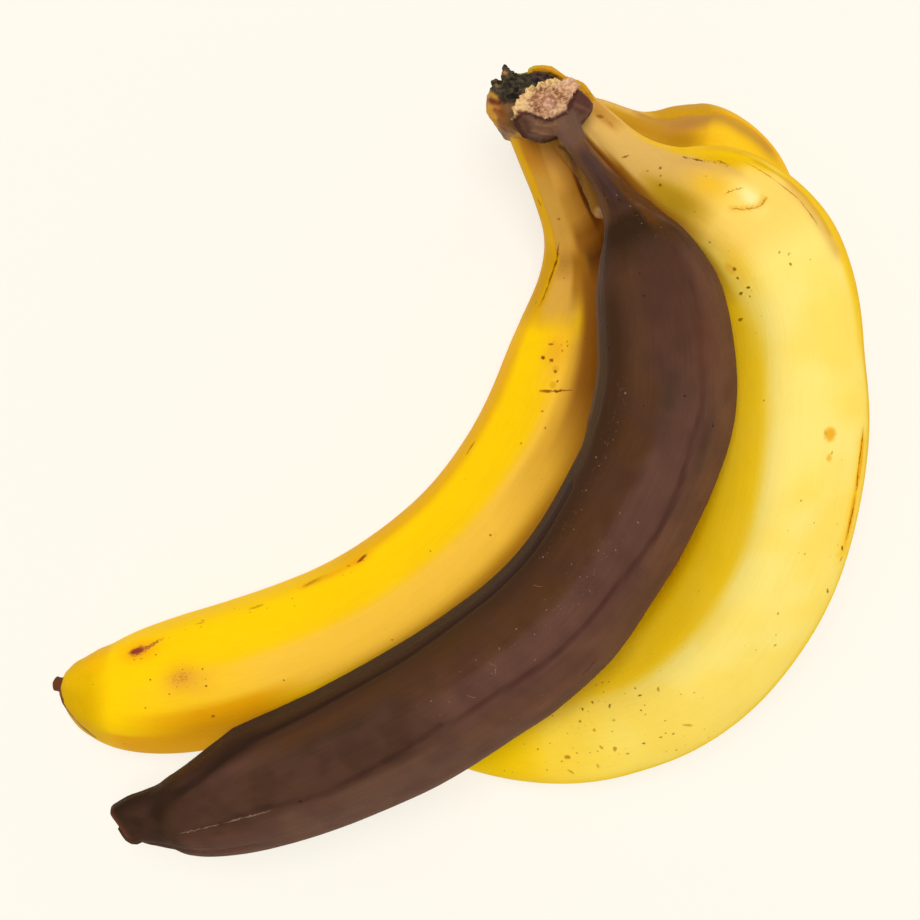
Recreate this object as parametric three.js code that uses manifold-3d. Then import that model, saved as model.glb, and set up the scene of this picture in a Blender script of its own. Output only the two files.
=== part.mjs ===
// A hand of four bananas lying on its side: three yellow fruits and an overripe brown one, joined at a crown.
// Units are millimetres, +Z is up and the lowest fruits rest on the plane Z = 0.
// Each fruit is a lathed outline bent along its own spine, with the five soft ridges that a banana has.
import * as THREE from "three";
import { mergeVertices } from "three/addons/utils/BufferGeometryUtils.js";
import Module from "manifold-3d";

const wasm = await Module();
wasm.setup();

// ---------- driving dimensions ----------

const SIDES = 24; // faces round a fruit
const RINGS = 44; // rings from stem to tip
const RIDGE_SHARPNESS = 7; // 2 would be a plain circle
const RIDGE_SWELL = 1.12; // puts the ridges at the outline's radius and the flats between them inside it
const GAP = 0.4; // between a stem and the crown that it grows from
const BALL_DETAIL = 4; // times that a crown ball's twenty faces are divided
const UP = new THREE.Vector3(0, 0, 1);
const FOOTPRINT_MIDDLE = new THREE.Vector3(-3.02, -1.13, 0); // of the whole hand, in the places given below

const YELLOW = new THREE.MeshStandardMaterial({ color: 0xf4c013, roughness: 0.5, metalness: 0 });
const PALE_YELLOW = new THREE.MeshStandardMaterial({ color: 0xf8d850, roughness: 0.5, metalness: 0 });
const OLIVE_YELLOW = new THREE.MeshStandardMaterial({ color: 0xc99a2b, roughness: 0.6, metalness: 0 });
const BROWN = new THREE.MeshStandardMaterial({ color: 0x53362a, roughness: 0.55, metalness: 0 });

// A spine runs from the crown to the blossom end. An outline lists [share of the spine, radius].
// Ridges are falling angles in degrees: 0 is the top of a fruit, 90 the inside of its curve, -90 the outside.
const FRUITS = {
  // The lowest fruit on the inside of the hand, flat on the table from its shoulder to its tip.
  banana_left: {
    material: YELLOW,
    spine: [
      [17, 81, 42], [20.5, 71.5, 37], [24, 62.5, 31], [26.7, 55, 25], [28.5, 47, 20], [28.5, 34, 17.2],
      [24, 12.5, 16.9], [14.5, -5, 16.9], [0, -22.5, 16.9], [-24, -40, 16.9], [-51, -51, 16.9],
      [-79, -57.3, 16.2], [-90, -57.2, 15.5], [-100.2, -55, 15.5],
    ],
    outline: [
      [0, 7.3], [0.05, 6.7], [0.09, 6.4], [0.14, 6.8], [0.18, 9], [0.24, 13.9], [0.3, 17.1], [0.36, 18],
      [0.44, 17.5], [0.56, 17.7], [0.7, 18.1], [0.8, 18.1], [0.87, 17.1], [0.92, 14.8], [0.955, 11.3],
      [0.98, 6.4], [0.99, 4], [1, 3.4],
    ],
    ridges: [46, -26, -98, -170, -242],
  },
  // The thickest fruit, on the outside of the hand: it lies over the back one and its tip is on the table.
  banana_right: {
    material: PALE_YELLOW,
    spine: [
      [26, 84, 44.5], [38.5, 71, 47], [47, 64, 50], [57.5, 57.8, 52.5], [65.3, 51.6, 53.5], [71, 43.5, 53.5],
      [75.2, 33, 53], [76.7, 18, 51.5], [76.7, 4, 50], [74.2, -14.5, 46], [69, -30, 41],
      [59.4, -45.5, 32.5], [47, -57, 23.3], [31, -64, 15.4], [14, -66.5, 11.7], [0, -67, 10],
      [-10, -66.5, 8.8], [-15.5, -66, 8.5],
    ],
    outline: [
      [0, 5.4], [0.05, 6.2], [0.08, 7.2], [0.11, 9.6], [0.14, 13.4], [0.17, 16.9], [0.2, 18.1], [0.24, 18.8],
      [0.28, 18.3], [0.33, 18.3], [0.4, 19.2], [0.52, 19], [0.65, 18.8], [0.75, 17.2], [0.8, 16.6],
      [0.86, 14.8], [0.91, 11.8], [0.95, 8.5], [0.98, 5.5], [1, 5],
    ],
    ridges: [10, -62, -134, -206, -278],
  },
  // The short fruit under the outside one.
  banana_back: {
    material: YELLOW,
    spine: [
      [25, 83, 31], [33.4, 81.2, 28.5], [40.6, 79, 24.5], [47.2, 76.5, 20.5], [53.3, 74.2, 18.2],
      [59.6, 71.4, 17], [65, 66.4, 16.9], [68.4, 58, 16.9], [69.3, 49, 16.9], [68, 35, 16.9],
      [61.5, 12.5, 16.9], [48.5, -15.5, 16.2], [30, -36, 15.3], [22, -42.5, 15],
    ],
    outline: [
      [0, 6.6], [0.09, 6.8], [0.13, 8.6], [0.17, 13.4], [0.21, 17], [0.27, 18.2], [0.35, 18],
      [0.5, 17.5], [0.6, 17.2], [0.74, 16.2], [0.85, 13.4], [0.93, 9.6], [0.98, 6], [1, 5],
    ],
    ridges: [29, -43, -115, -187, -259],
  },
  // The overripe fruit lies across the two outer ones. Its neck has dried thin.
  banana_brown: {
    material: BROWN,
    spine: [
      [23.2, 79, 61.2], [26.4, 72, 64], [30.2, 66.4, 66.4], [34, 60.8, 68.6], [38.4, 53.6, 70],
      [43.4, 41, 71.4], [46, 29, 71.9], [46, 9, 69.9], [40, -7.5, 65.7], [24, -33, 57.2],
      [-2, -54.5, 48.2], [-31.5, -70.7, 42.2], [-59, -81.7, 39.8], [-69, -83.5, 39.2],
      [-77, -84.7, 39], [-80.6, -87, 39],
    ],
    outline: [
      [0, 3.4], [0.03, 2.6], [0.06, 3], [0.09, 4], [0.12, 6.8], [0.16, 11.8], [0.21, 15], [0.3, 16.2],
      [0.5, 16.4], [0.64, 17.2], [0.7, 17.6], [0.8, 16.7], [0.88, 14.5], [0.935, 11.3], [0.965, 7.2],
      [0.985, 5.5], [1, 5.6],
    ],
    ridges: [45, -30, -98, -168, -240],
  },
};

// Balls are [x, y, z, radius]. The crown is the skin drawn round its balls: it stands tall behind the necks.
const CROWN_BALLS = [
  [11.9, 83, 48, 5.9], [18.5, 85.8, 49.5, 5.8], [25, 85, 46.5, 5.6], [17.5, 80.5, 45, 6.4],
  [9.5, 86.5, 49, 2.6], [15, 82.5, 34, 7.2], [23, 84.5, 29, 7.4],
];
// A shrivelled point at the back edge of the cut.
const POINT_BALLS = [[13, 86.5, 49.5, 4], [10.5, 91, 52.5, 1.2]];
// A stub of a fruit that was picked earlier, between the left and the brown fruit's necks.
const STUB_BALLS = [[23, 78.5, 46, 4.6], [29.8, 67.5, 45.5, 3.6], [33.4, 58.4, 43.5, 3.4]];
// The piece of crown that tore off with the brown fruit, and the plane of its torn face.
const TORN_BALLS = [
  [16.2, 79.2, 59.4, 4.4], [19.5, 77.5, 58, 4.8], [24.5, 79.5, 59.5, 4.6], [17, 82.5, 59.5, 3.8],
  [24, 83.5, 60, 3.6], [28, 81, 58.5, 2.8],
];
const TORN_FACE = {
  facing: new THREE.Vector3(-0.15, 0.5, 0.85).normalize(),
  through: new THREE.Vector3(20, 81, 63.4),
};

// ---------- solids ----------

function solidFrom(geometry) {
  const bare = new THREE.BufferGeometry().setAttribute("position", geometry.getAttribute("position"));
  bare.setIndex(geometry.index);
  const merged = mergeVertices(bare, 1e-3);
  return new wasm.Manifold(new wasm.Mesh({
    numProp: 3,
    vertProperties: new Float32Array(merged.getAttribute("position").array),
    triVerts: new Uint32Array(merged.index.array),
  }));
}

function geometryFrom(solid) {
  const mesh = solid.getMesh();
  const geometry = new THREE.BufferGeometry();
  geometry.setAttribute("position", new THREE.BufferAttribute(mesh.vertProperties, 3));
  geometry.setIndex(new THREE.BufferAttribute(mesh.triVerts, 1));
  return geometry;
}

// The tightest skin round a set of balls, each grown by the same amount.
function skinRound(balls, growth = 0) {
  const solids = balls.map(([x, y, z, radius]) => {
    const ball = new THREE.IcosahedronGeometry(radius + growth, BALL_DETAIL);
    return solidFrom(ball.translate(x, y, z));
  });
  return wasm.Manifold.hull(solids);
}

// Balls joined one after another, as the links of a bent rod.
function rodThrough(balls, growth = 0) {
  const links = balls.slice(1).map((ball, i) => skinRound([balls[i], ball], growth));
  return wasm.Manifold.union(links);
}

// ---------- a fruit ----------

// Radius factor at an angle round a section whose flats face halfway between the ridges.
function sectionFactor(angle, ridges) {
  let sum = 0;
  ridges.forEach((from, i) => {
    const to = i + 1 < ridges.length ? ridges[i + 1] : ridges[0] - 360;
    const half = THREE.MathUtils.degToRad((from - to) / 2);
    const facing = THREE.MathUtils.degToRad(from) - half;
    sum += Math.max(0, Math.cos(angle - facing) / Math.cos(half)) ** RIDGE_SHARPNESS;
  });
  return RIDGE_SWELL * sum ** (-1 / RIDGE_SHARPNESS);
}

function lathedFruit(outline, length) {
  const points = outline.map(([share, radius]) => new THREE.Vector2(radius, share * length));
  const flank = new THREE.SplineCurve(points);
  const stemEnd = new THREE.Vector2(0, 0);
  const tipEnd = new THREE.Vector2(0, length);
  return new THREE.LatheGeometry([stemEnd, ...flank.getSpacedPoints(RINGS), tipEnd], SIDES);
}

// Moves each vertex of a straight, lathed fruit to its place round the spine, and flattens it on the table.
function bendAlong(geometry, spine, length, ridges) {
  const position = geometry.getAttribute("position");
  const straight = new THREE.Vector3();
  for (let i = 0; i < position.count; i++) {
    straight.fromBufferAttribute(position, i);
    const share = THREE.MathUtils.clamp(straight.y / length, 0, 1);
    const angle = Math.atan2(straight.x, straight.z);
    const radius = Math.hypot(straight.x, straight.z) * sectionFactor(angle, ridges);
    const tangent = spine.getTangentAt(share);
    const inward = new THREE.Vector3().crossVectors(tangent, UP).normalize();
    const upward = new THREE.Vector3().crossVectors(inward, tangent);
    const placed = spine.getPointAt(share)
      .addScaledVector(upward, Math.cos(angle) * radius)
      .addScaledVector(inward, Math.sin(angle) * radius);
    position.setXYZ(i, placed.x, placed.y, Math.max(0, placed.z));
  }
}

function fruitSolid({ spine, outline, ridges }) {
  const points = spine.map((point) => new THREE.Vector3(...point));
  const curve = new THREE.CatmullRomCurve3(points, false, "centripetal");
  curve.arcLengthDivisions = 600;
  const length = curve.getLength();
  const geometry = lathedFruit(outline, length);
  bendAlong(geometry, curve, length, ridges);
  return solidFrom(geometry);
}

// ---------- the crown ----------

function crownSolid(growth = 0) {
  return wasm.Manifold.union([
    skinRound(CROWN_BALLS, growth),
    rodThrough(POINT_BALLS, growth),
    rodThrough(STUB_BALLS, growth),
  ]);
}

function tornPiece() {
  const { facing, through } = TORN_FACE;
  return skinRound(TORN_BALLS).trimByPlane(facing.clone().negate().toArray(), -facing.dot(through));
}

// ---------- the hand ----------

const hand = new THREE.Group();

function addNode(name, solid, material) {
  const mesh = new THREE.Mesh(geometryFrom(solid), material);
  mesh.name = name;
  mesh.position.copy(FOOTPRINT_MIDDLE).negate();
  hand.add(mesh);
}

addNode("crown", crownSolid(), OLIVE_YELLOW);
const crownRoom = crownSolid(GAP);
for (const [name, fruit] of Object.entries(FRUITS)) {
  const body = name === "banana_brown" ? fruitSolid(fruit).add(tornPiece()) : fruitSolid(fruit);
  addNode(name, body.subtract(crownRoom), fruit.material);
}

export default hand;
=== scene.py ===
# %% [markdown]
# # A hand of bananas: three ripe fruits and an overripe one
# The real thing is one piece of a plant. Four fruits grow from one crown; three are yellow and one has gone brown and
# tore loose, with a bit of the crown still on its neck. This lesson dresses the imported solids: it grows each peel along
# the same spine as its solid, then adds ridges, creases, spots and colour.
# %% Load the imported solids
import math
import bmesh
import bpy
import numpy as np
from mathutils import Matrix, Vector, noise


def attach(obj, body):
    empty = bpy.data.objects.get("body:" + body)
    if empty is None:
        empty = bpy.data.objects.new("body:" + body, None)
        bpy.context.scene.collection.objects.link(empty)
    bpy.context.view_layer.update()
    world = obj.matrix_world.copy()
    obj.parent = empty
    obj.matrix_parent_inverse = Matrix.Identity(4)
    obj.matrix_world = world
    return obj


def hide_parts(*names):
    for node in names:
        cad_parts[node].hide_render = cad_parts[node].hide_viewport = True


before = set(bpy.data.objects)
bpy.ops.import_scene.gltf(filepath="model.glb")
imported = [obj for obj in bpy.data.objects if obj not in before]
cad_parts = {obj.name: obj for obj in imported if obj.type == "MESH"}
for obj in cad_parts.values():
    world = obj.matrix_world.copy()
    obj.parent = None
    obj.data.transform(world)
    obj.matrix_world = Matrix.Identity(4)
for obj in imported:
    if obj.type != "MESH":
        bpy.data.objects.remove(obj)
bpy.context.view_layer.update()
print("solids:", sorted(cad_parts))

# %% [markdown]
# ## The camera
# The hand lies on a table and is seen from straight above. A long lens keeps the fruits' shapes true: a short one would
# swell the brown fruit, which is closest to it. The camera comes first, so that every later choice can be judged
# through it.
# %% Camera above the table
scene = bpy.context.scene
MM_PER_M = 1000
MIDDLE = np.array([3.02, 1.13, 0.0])  # millimetres: below the camera, and where all places in the lists start
CAMERA_HEIGHT = 0.646  # metres
FOCAL_LENGTH, SENSOR_WIDTH = 100, 36


def put(name, data):
    """A new object in the scene."""
    made = bpy.data.objects.new(name, data)
    scene.collection.objects.link(made)
    return made


lens = bpy.data.cameras.new("camera above the table")
lens.lens, lens.sensor_width = FOCAL_LENGTH, SENSOR_WIDTH
camera = put("camera above the table", lens)
camera.location = [*MIDDLE[:2] / MM_PER_M, CAMERA_HEIGHT]
scene.camera = camera
print("camera height above the table:", camera.location.z, "m")

# %% [markdown]
# ## Building node trees with less typing
# Both materials and geometry are made of nodes. Small helpers keep the recipes short: `fresh` empties a tree; `add`
# makes a node and fills its inputs, with a link where it is given a socket and a value otherwise; `calc` is one step of
# arithmetic and `vector_calc` the same for vectors; `sway` and `remap` move a value to where it is wanted; `clouds` is
# noise; `blend` mixes two colours; `shade` turns a colour written as 0 to 255 into the linear values that nodes expect.
# %% Helpers for node trees
def fresh(block):
    """The emptied node tree of a material or a world."""
    block.use_nodes = True
    block.node_tree.nodes.clear()
    return block.node_tree


def add(tree, kind, inputs=None, **settings):
    made = tree.nodes.new(kind)
    for key, value in settings.items():
        setattr(made, key, value)
    for key, value in (inputs or {}).items():
        if isinstance(value, bpy.types.NodeSocket):
            tree.links.new(value, made.inputs[key])
        else:
            made.inputs[key].default_value = value
    return made


def calc(tree, operation, a, b=0.0, c=0.0):
    return add(tree, "ShaderNodeMath", {0: a, 1: b, 2: c}, operation=operation).outputs[0]


def vector_calc(tree, operation, a, b=(0, 0, 0)):
    """One step with vectors, of which SCALE takes a number in place of its second vector."""
    second = "Scale" if operation == "SCALE" else 1
    made = add(tree, "ShaderNodeVectorMath", {0: a, second: b}, operation=operation)
    return made.outputs["Value" if operation in ("DOT_PRODUCT", "LENGTH") else "Vector"]


def sway(tree, value, middle, strength):
    """How far a value is from its middle, times a strength."""
    return calc(tree, "MULTIPLY", calc(tree, "SUBTRACT", value, middle), strength)


def clouds(tree, place, scale, detail, roughness=0.5, seed=None, output=0):
    """Noise of about 0 to 1. A seed is a place on a fourth axis, where the pattern is another one."""
    inputs = {"Vector": place, "Scale": scale, "Detail": detail, "Roughness": roughness}
    if seed is None:
        return add(tree, "ShaderNodeTexNoise", inputs).outputs[output]
    return add(tree, "ShaderNodeTexNoise", {**inputs, "W": seed}, noise_dimensions="4D").outputs[output]


def blend(tree, factor, a, b):
    mix = add(tree, "ShaderNodeMix", {0: factor, 6: a, 7: b}, data_type="RGBA")
    return mix.outputs[2]


def remap(tree, value, low, high, start=0.0, end=1.0):
    """Value going from low to high becomes start to end, with an easy slope and no overshoot."""
    inputs = {0: value, 1: low, 2: high, 3: start, 4: end}
    return add(tree, "ShaderNodeMapRange", inputs, interpolation_type="SMOOTHSTEP").outputs[0]


def linear(colours):
    """0 to 255 as seen on a screen, turned into the linear values that nodes use."""
    c = np.clip(np.asarray(colours, float) / 255, 0, 1)
    return np.where(c < 0.04045, c / 12.92, ((c + 0.055) / 1.055) ** 2.4)


def shade(red, green, blue):
    return (*linear((red, green, blue)).tolist(), 1.0)


print("a ripe yellow in linear values:", [round(c, 3) for c in shade(254, 204, 6)])

# %% [markdown]
# ## Light and table
# Fruit in a light tent shows its colour evenly, flanks included, and throws only a faint shadow. A white world is the
# tent: it is much brighter near the horizon than overhead, because that is what reaches the flanks. A sun with a
# very wide disc adds a direction without a hard edge. Together they are set so that a surface that faces up shows about
# the colour written in its material. The table is a plain plane: the camera sees it mostly as its own pale colour, with
# a share of real shadow mixed in so that the hand sits on it.
# %% World, sun and table
CREAM, TABLE_PAINT = shade(255, 250, 238), shade(250, 246, 236)
OVERHEAD, EXTRA_AT_HORIZON = 0.34, 0.55
TABLE_HALF, TABLE_HEIGHT = 3, -0.0001  # metres, a hair under the fruit
SHADOWLESS_SHARE = 0.75


def seen_directly(tree, *kinds):
    """1 for rays of the given kinds, 0 for those that only carry light."""
    ray = add(tree, "ShaderNodeLightPath").outputs
    value = ray[kinds[0]]
    for kind in kinds[1:]:
        value = calc(tree, "MAXIMUM", value, ray[kind])
    return value


scene.world = bpy.data.worlds.new("soft room")
sky = fresh(scene.world)
height = add(sky, "ShaderNodeSeparateXYZ", {0: add(sky, "ShaderNodeTexCoord").outputs["Generated"]}).outputs[2]
low_sky = calc(sky, "POWER", calc(sky, "SUBTRACT", 1.0, calc(sky, "MAXIMUM", height, 0.0)), 2.0)
strength = calc(sky, "MULTIPLY_ADD", low_sky, EXTRA_AT_HORIZON, OVERHEAD)
even = add(sky, "ShaderNodeBackground", {"Color": (1, 1, 1, 1), "Strength": strength})
backdrop = add(sky, "ShaderNodeBackground", {"Color": CREAM, "Strength": 1.0})
seen = seen_directly(sky, "Is Camera Ray", "Is Glossy Ray", "Is Transmission Ray")
both = add(sky, "ShaderNodeMixShader", {0: seen, 1: even.outputs[0], 2: backdrop.outputs[0]})
add(sky, "ShaderNodeOutputWorld", {0: both.outputs[0]})

sun = bpy.data.lights.new("wide soft window", "SUN")
sun.energy, sun.angle = 2.05, math.radians(24)
put("wide soft window", sun).rotation_euler = Vector((-0.03, 0.12, 0.99)).to_track_quat("Z", "Y").to_euler()

scene.view_settings.view_transform = "Standard"

corners = [(x * TABLE_HALF, y * TABLE_HALF, TABLE_HEIGHT) for x, y in ((-1, -1), (1, -1), (1, 1), (-1, 1))]
table_mesh = bpy.data.meshes.new("pale table")
table_mesh.from_pydata(corners, [], [(0, 1, 2, 3)])
table = put("pale table", table_mesh)
top = bpy.data.materials.new("pale table")
tree = fresh(top)
matt = add(tree, "ShaderNodeBsdfDiffuse", {"Color": TABLE_PAINT})
flat = add(tree, "ShaderNodeEmission", {"Color": CREAM, "Strength": 1.0})
seen = calc(tree, "MULTIPLY", seen_directly(tree, "Is Camera Ray", "Is Glossy Ray"), SHADOWLESS_SHARE)
mixed = add(tree, "ShaderNodeMixShader", {0: seen, 1: matt.outputs[0], 2: flat.outputs[0]})
add(tree, "ShaderNodeOutputMaterial", {0: mixed.outputs[0]})
table_mesh.materials.append(top)
print("sky:", OVERHEAD, "overhead and", OVERHEAD + EXTRA_AT_HORIZON, "at the horizon; sun:", sun.energy)

# %% [markdown]
# ## The spine and the outline of each fruit
# A banana is a tapered bar that bent while it grew. Two short lists describe it: the spine, a line of points down its
# middle, and the outline, its radius at shares of that line from neck to tip. They are the same values as the packed
# solids have, in millimetres, so that peel and solid agree. The ridges are angles round the spine: 0 faces up and 90
# faces the hollow side of the bend. A banana could also be sculpted by hand, but a spine keeps four fruits alike and
# still lets each have its own bend.
# %% Values of the four fruits
FRUITS = {
    "banana_left": {
        "spine": [(17, 81, 42), (20.5, 71.5, 37), (24, 62.5, 31), (26.7, 55, 25), (28.5, 47, 20), (28.5, 34, 17.2),
            (24, 12.5, 16.9), (14.5, -5, 16.9), (0, -22.5, 16.9), (-24, -40, 16.9), (-51, -51, 16.9),
            (-79, -57.3, 16.2), (-90, -57.2, 15.5), (-100.2, -55, 15.5)],
        "outline": [(0, 7.3), (0.05, 6.7), (0.09, 6.4), (0.14, 6.8), (0.18, 9), (0.24, 13.9), (0.3, 17.1), (0.36, 18),
            (0.44, 17.5), (0.56, 17.7), (0.7, 18.1), (0.8, 18.1), (0.87, 17.1), (0.92, 14.8), (0.955, 11.3),
            (0.976, 7.2), (0.986, 4), (0.993, 2.7), (1, 2.5)],
        "ridges": (46, -26, -98, -170, -242)},
    "banana_right": {
        "spine": [(26, 84, 44.5), (38.5, 71, 47), (47, 64, 50), (57.5, 57.8, 52.5), (65.3, 51.6, 53.5),
            (71, 43.5, 53.5), (75.2, 33, 53), (76.7, 18, 51.5), (76.7, 4, 50), (74.2, -14.5, 46), (69, -30, 41),
            (59.4, -45.5, 32.5), (47, -57, 23.3), (31, -64, 15.4), (14, -66.5, 11.7), (0, -67, 10), (-10, -66.5, 8.8),
            (-15.5, -66, 8.5)],
        "outline": [(0, 5.4), (0.05, 6.2), (0.08, 7.2), (0.11, 9.6), (0.14, 13.4), (0.17, 16.9), (0.2, 18.1),
            (0.24, 18.8), (0.28, 18.3), (0.33, 18.3), (0.4, 19.2), (0.52, 19), (0.65, 18.8), (0.75, 17.2),
            (0.8, 16.6), (0.86, 14.8), (0.91, 11.8), (0.95, 8.5), (0.98, 5.5), (1, 5)],
        "ridges": (10, -62, -134, -206, -278)},
    "banana_back": {
        "spine": [(25, 83, 31), (33.4, 81.2, 28.5), (40.6, 79, 24.5), (47.2, 76.5, 20.5), (53.3, 74.2, 18.2),
            (59.6, 71.4, 17), (65, 66.4, 16.9), (68.4, 58, 16.9), (69.3, 49, 16.9), (68, 35, 16.9),
            (61.5, 12.5, 16.9), (48.5, -15.5, 16.2), (30, -36, 15.3), (22, -42.5, 15)],
        "outline": [(0, 6.6), (0.09, 6.8), (0.13, 8.6), (0.17, 13.4), (0.21, 17), (0.27, 18.2), (0.35, 18),
            (0.5, 17.5), (0.6, 17.2), (0.74, 16.2), (0.85, 13.4), (0.93, 9.6), (0.98, 6), (1, 5)],
        "ridges": (29, -43, -115, -187, -259)},
    "banana_brown": {
        "spine": [(23.2, 79, 61.2), (26.4, 72, 64), (30.2, 66.4, 66.4), (34, 60.8, 68.6), (38.4, 53.6, 70),
            (43.4, 41, 71.4), (46, 29, 71.9), (46, 9, 69.9), (40, -7.5, 65.7), (24, -33, 57.2), (-2, -54.5, 48.2),
            (-31.5, -70.7, 42.2), (-59, -81.7, 39.8), (-69, -83.5, 39.2), (-77, -84.7, 39), (-80.6, -87, 39)],
        "outline": [(0, 3.4), (0.03, 2.6), (0.06, 3), (0.09, 4), (0.12, 6.8), (0.16, 11.8), (0.21, 15), (0.3, 16.2),
            (0.5, 16.4), (0.64, 17.2), (0.7, 17.6), (0.8, 16.7), (0.88, 14.5), (0.935, 11.3), (0.965, 7.2),
            (0.985, 5.5), (1, 5.6)],
        "ridges": (45, -30, -98, -168, -240)},
}


def smooth_line(points, steps=60):
    """A centripetal Catmull-Rom line, the kind that passes through its points without loops."""
    p = np.array(points, float)
    p = np.vstack([2 * p[0] - p[1], p, 2 * p[-1] - p[-2]])
    u = np.linspace(0, 1, steps, endpoint=False)[:, None]
    parts = []
    for a, b, c, d in zip(p, p[1:], p[2:], p[3:]):
        ab, bc, cd = (max(math.sqrt(np.linalg.norm(q - r)), 1e-4) for q, r in ((a, b), (b, c), (c, d)))
        leave = ((b - a) / ab - (c - a) / (ab + bc) + (c - b) / bc) * bc
        arrive = ((c - b) / bc - (d - b) / (bc + cd) + (d - c) / cd) * bc
        parts.append(b + leave * u + (3 * (c - b) - 2 * leave - arrive) * u**2 + (2 * (b - c) + leave + arrive) * u**3)
    return np.vstack([*parts, p[-2][None]])


def smooth_radius(outline, share, steps=20):
    """The outline's radius at any share, eased between its points."""
    p = np.array([outline[0], *outline, outline[-1]], float)
    u = np.linspace(0, 1, steps, endpoint=False)[:, None]
    parts = [0.5 * (2 * b + (c - a) * u + (2 * a - 5 * b + 4 * c - d) * u**2 + (3 * b - a - 3 * c + d) * u**3)
             for a, b, c, d in zip(p, p[1:], p[2:], p[3:])]
    line = np.vstack([*parts, p[-1][None]])
    return np.interp(share, line[:, 0], line[:, 1])


def on_spine_line(fruit, share):
    """Where a share of a fruit's length lies, in millimetres."""
    walked, line = fruit["walked"], fruit["line"]
    return np.column_stack([np.interp(share * fruit["length"], walked, line[:, i]) for i in range(3)])


for name, fruit in FRUITS.items():
    line = smooth_line(fruit["spine"]) + MIDDLE
    walked = np.concatenate([[0], np.cumsum(np.linalg.norm(np.diff(line, axis=0), axis=1))])
    fruit["line"], fruit["walked"], fruit["length"] = line, walked, walked[-1]
    print(name, "is", round(walked[-1]), "mm along its spine")

# %% [markdown]
# ## Stations along the spine
# The geometry tree below needs a spine as a row of points, each with its share and its girth. Rings sit about half a
# millimetre apart. The ends get a few extra rings that shrink quickly, which closes them with a blunt, slightly rounded
# face instead of a hole.
# %% Spine meshes
RINGS = 400
END_STEPS = np.array([0, 0.07, 0.14, 0.22, 0.34, 0.55, 0.95, 1.5])
END_SHRINK = np.array([0.02, 0.25, 0.46, 0.64, 0.8, 0.91, 0.975, 1])


def add_numbers(mesh, name, values):
    """Writes one number for each vertex of a mesh."""
    layer = mesh.attributes.new(name, "FLOAT", "POINT")
    layer.data.foreach_set("value", np.ascontiguousarray(values, np.float32))


def spine_mesh(name, fruit):
    steps = END_STEPS / fruit["length"]
    share = np.concatenate([steps, np.linspace(steps[-1], 1 - steps[-1], RINGS)[1:-1], 1 - steps[::-1]])
    shrink = np.concatenate([END_SHRINK, np.ones(RINGS - 2), END_SHRINK[::-1]])
    mesh = bpy.data.meshes.new(name + " spine")
    points = on_spine_line(fruit, share) / MM_PER_M
    mesh.from_pydata(points.tolist(), [(i, i + 1) for i in range(len(share) - 1)], [])
    add_numbers(mesh, "along", share)
    add_numbers(mesh, "down", share.astype(np.float32) * fruit["length"])
    add_numbers(mesh, "girth", smooth_radius(fruit["outline"], share) * shrink)
    return mesh


spines = {name: spine_mesh(name, fruit) for name, fruit in FRUITS.items()}
print("stations on each spine:", len(spines["banana_left"].vertices))

# %% [markdown]
# ## A geometry tree that grows a fruit
# The tree turns the spine into a curve and sweeps a circle along it, then moves each point to where the peel is. A
# banana's cross-section has five flats with soft ridges between them, and one formula gives it: each flat adds a term
# that grows as the point faces it, and the power, called Sharpness here, decides how crisp the corners are. Near the
# neck and the tip the peel is thinner and dries first, so fine lengthwise wrinkles appear there. The tree also stores
# where each point lies on the straightened peel, which the materials use later: a pattern made from it follows a bend.
# %% The tree "grown fruit"
def open_tree(name, inputs):
    """A geometry tree with a mesh coming in, one going out, and named inputs in between."""
    tree = bpy.data.node_groups.new(name, "GeometryNodeTree")
    tree.interface.new_socket("Start", in_out="INPUT", socket_type="NodeSocketGeometry")
    for label, (kind, value) in inputs.items():
        socket = tree.interface.new_socket(label, in_out="INPUT", socket_type="NodeSocket" + kind)
        if value is not None:
            socket.default_value = value
    tree.interface.new_socket("Result", in_out="OUTPUT", socket_type="NodeSocketGeometry")
    return tree, add(tree, "NodeGroupInput").outputs


def finish_tree(tree, geometry, material):
    """Ends a tree: smooth shading, real geometry instead of instances, and the material."""
    smooth = add(tree, "GeometryNodeSetShadeSmooth", {0: geometry})
    real = add(tree, "GeometryNodeRealizeInstances", {0: smooth.outputs[0]})
    dressed = add(tree, "GeometryNodeSetMaterial", {"Geometry": real.outputs[0], "Material": material})
    add(tree, "NodeGroupOutput", {0: dressed.outputs[0]})


fruit_tree, given = open_tree("grown fruit", {
    "Sides": ("Int", 160), **{f"Ridge {i + 1}": ("Float", 0.0) for i in range(5)}, "Sharpness": ("Float", 7.0),
    "Swell": ("Float", 1.12), "Waves": ("Float", 0.5), "Wrinkles": ("Float", 0.0), "Dry wrinkles": ("Float", 0.35),
    "Seed": ("Float", 0.0), "Skin": ("Material", None)})
t = fruit_tree
curve = add(t, "GeometryNodeMeshToCurve", {0: given["Start"]})
upright = add(t, "GeometryNodeSetCurveNormal", {0: curve.outputs[0]}, mode="Z_UP")
kept = add(t, "GeometryNodeCaptureAttribute", {0: upright.outputs[0]})
for label, kind in (("on spine", "Position"), ("heading", "Tangent")):
    kept.capture_items.new("VECTOR", label)
    t.links.new(add(t, "GeometryNodeInput" + kind).outputs[0], kept.inputs[label])
ring = add(t, "GeometryNodeCurvePrimitiveCircle", {"Resolution": given["Sides"], "Radius": 1 / MM_PER_M})
tube = add(t, "GeometryNodeCurveToMesh", {0: kept.outputs[0], 1: ring.outputs[0], "Fill Caps": True})
on_spine, heading = kept.outputs["on spine"], kept.outputs["heading"]
away = vector_calc(t, "SUBTRACT", add(t, "GeometryNodeInputPosition").outputs[0], on_spine)
hollow_side = vector_calc(t, "NORMALIZE", vector_calc(t, "CROSS_PRODUCT", heading, (0, 0, 1)))
upper_side = vector_calc(t, "CROSS_PRODUCT", hollow_side, heading)
to_hollow, to_top = (vector_calc(t, "DOT_PRODUCT", away, side) for side in (hollow_side, upper_side))
angle = calc(t, "ARCTAN2", to_hollow, to_top)
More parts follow.
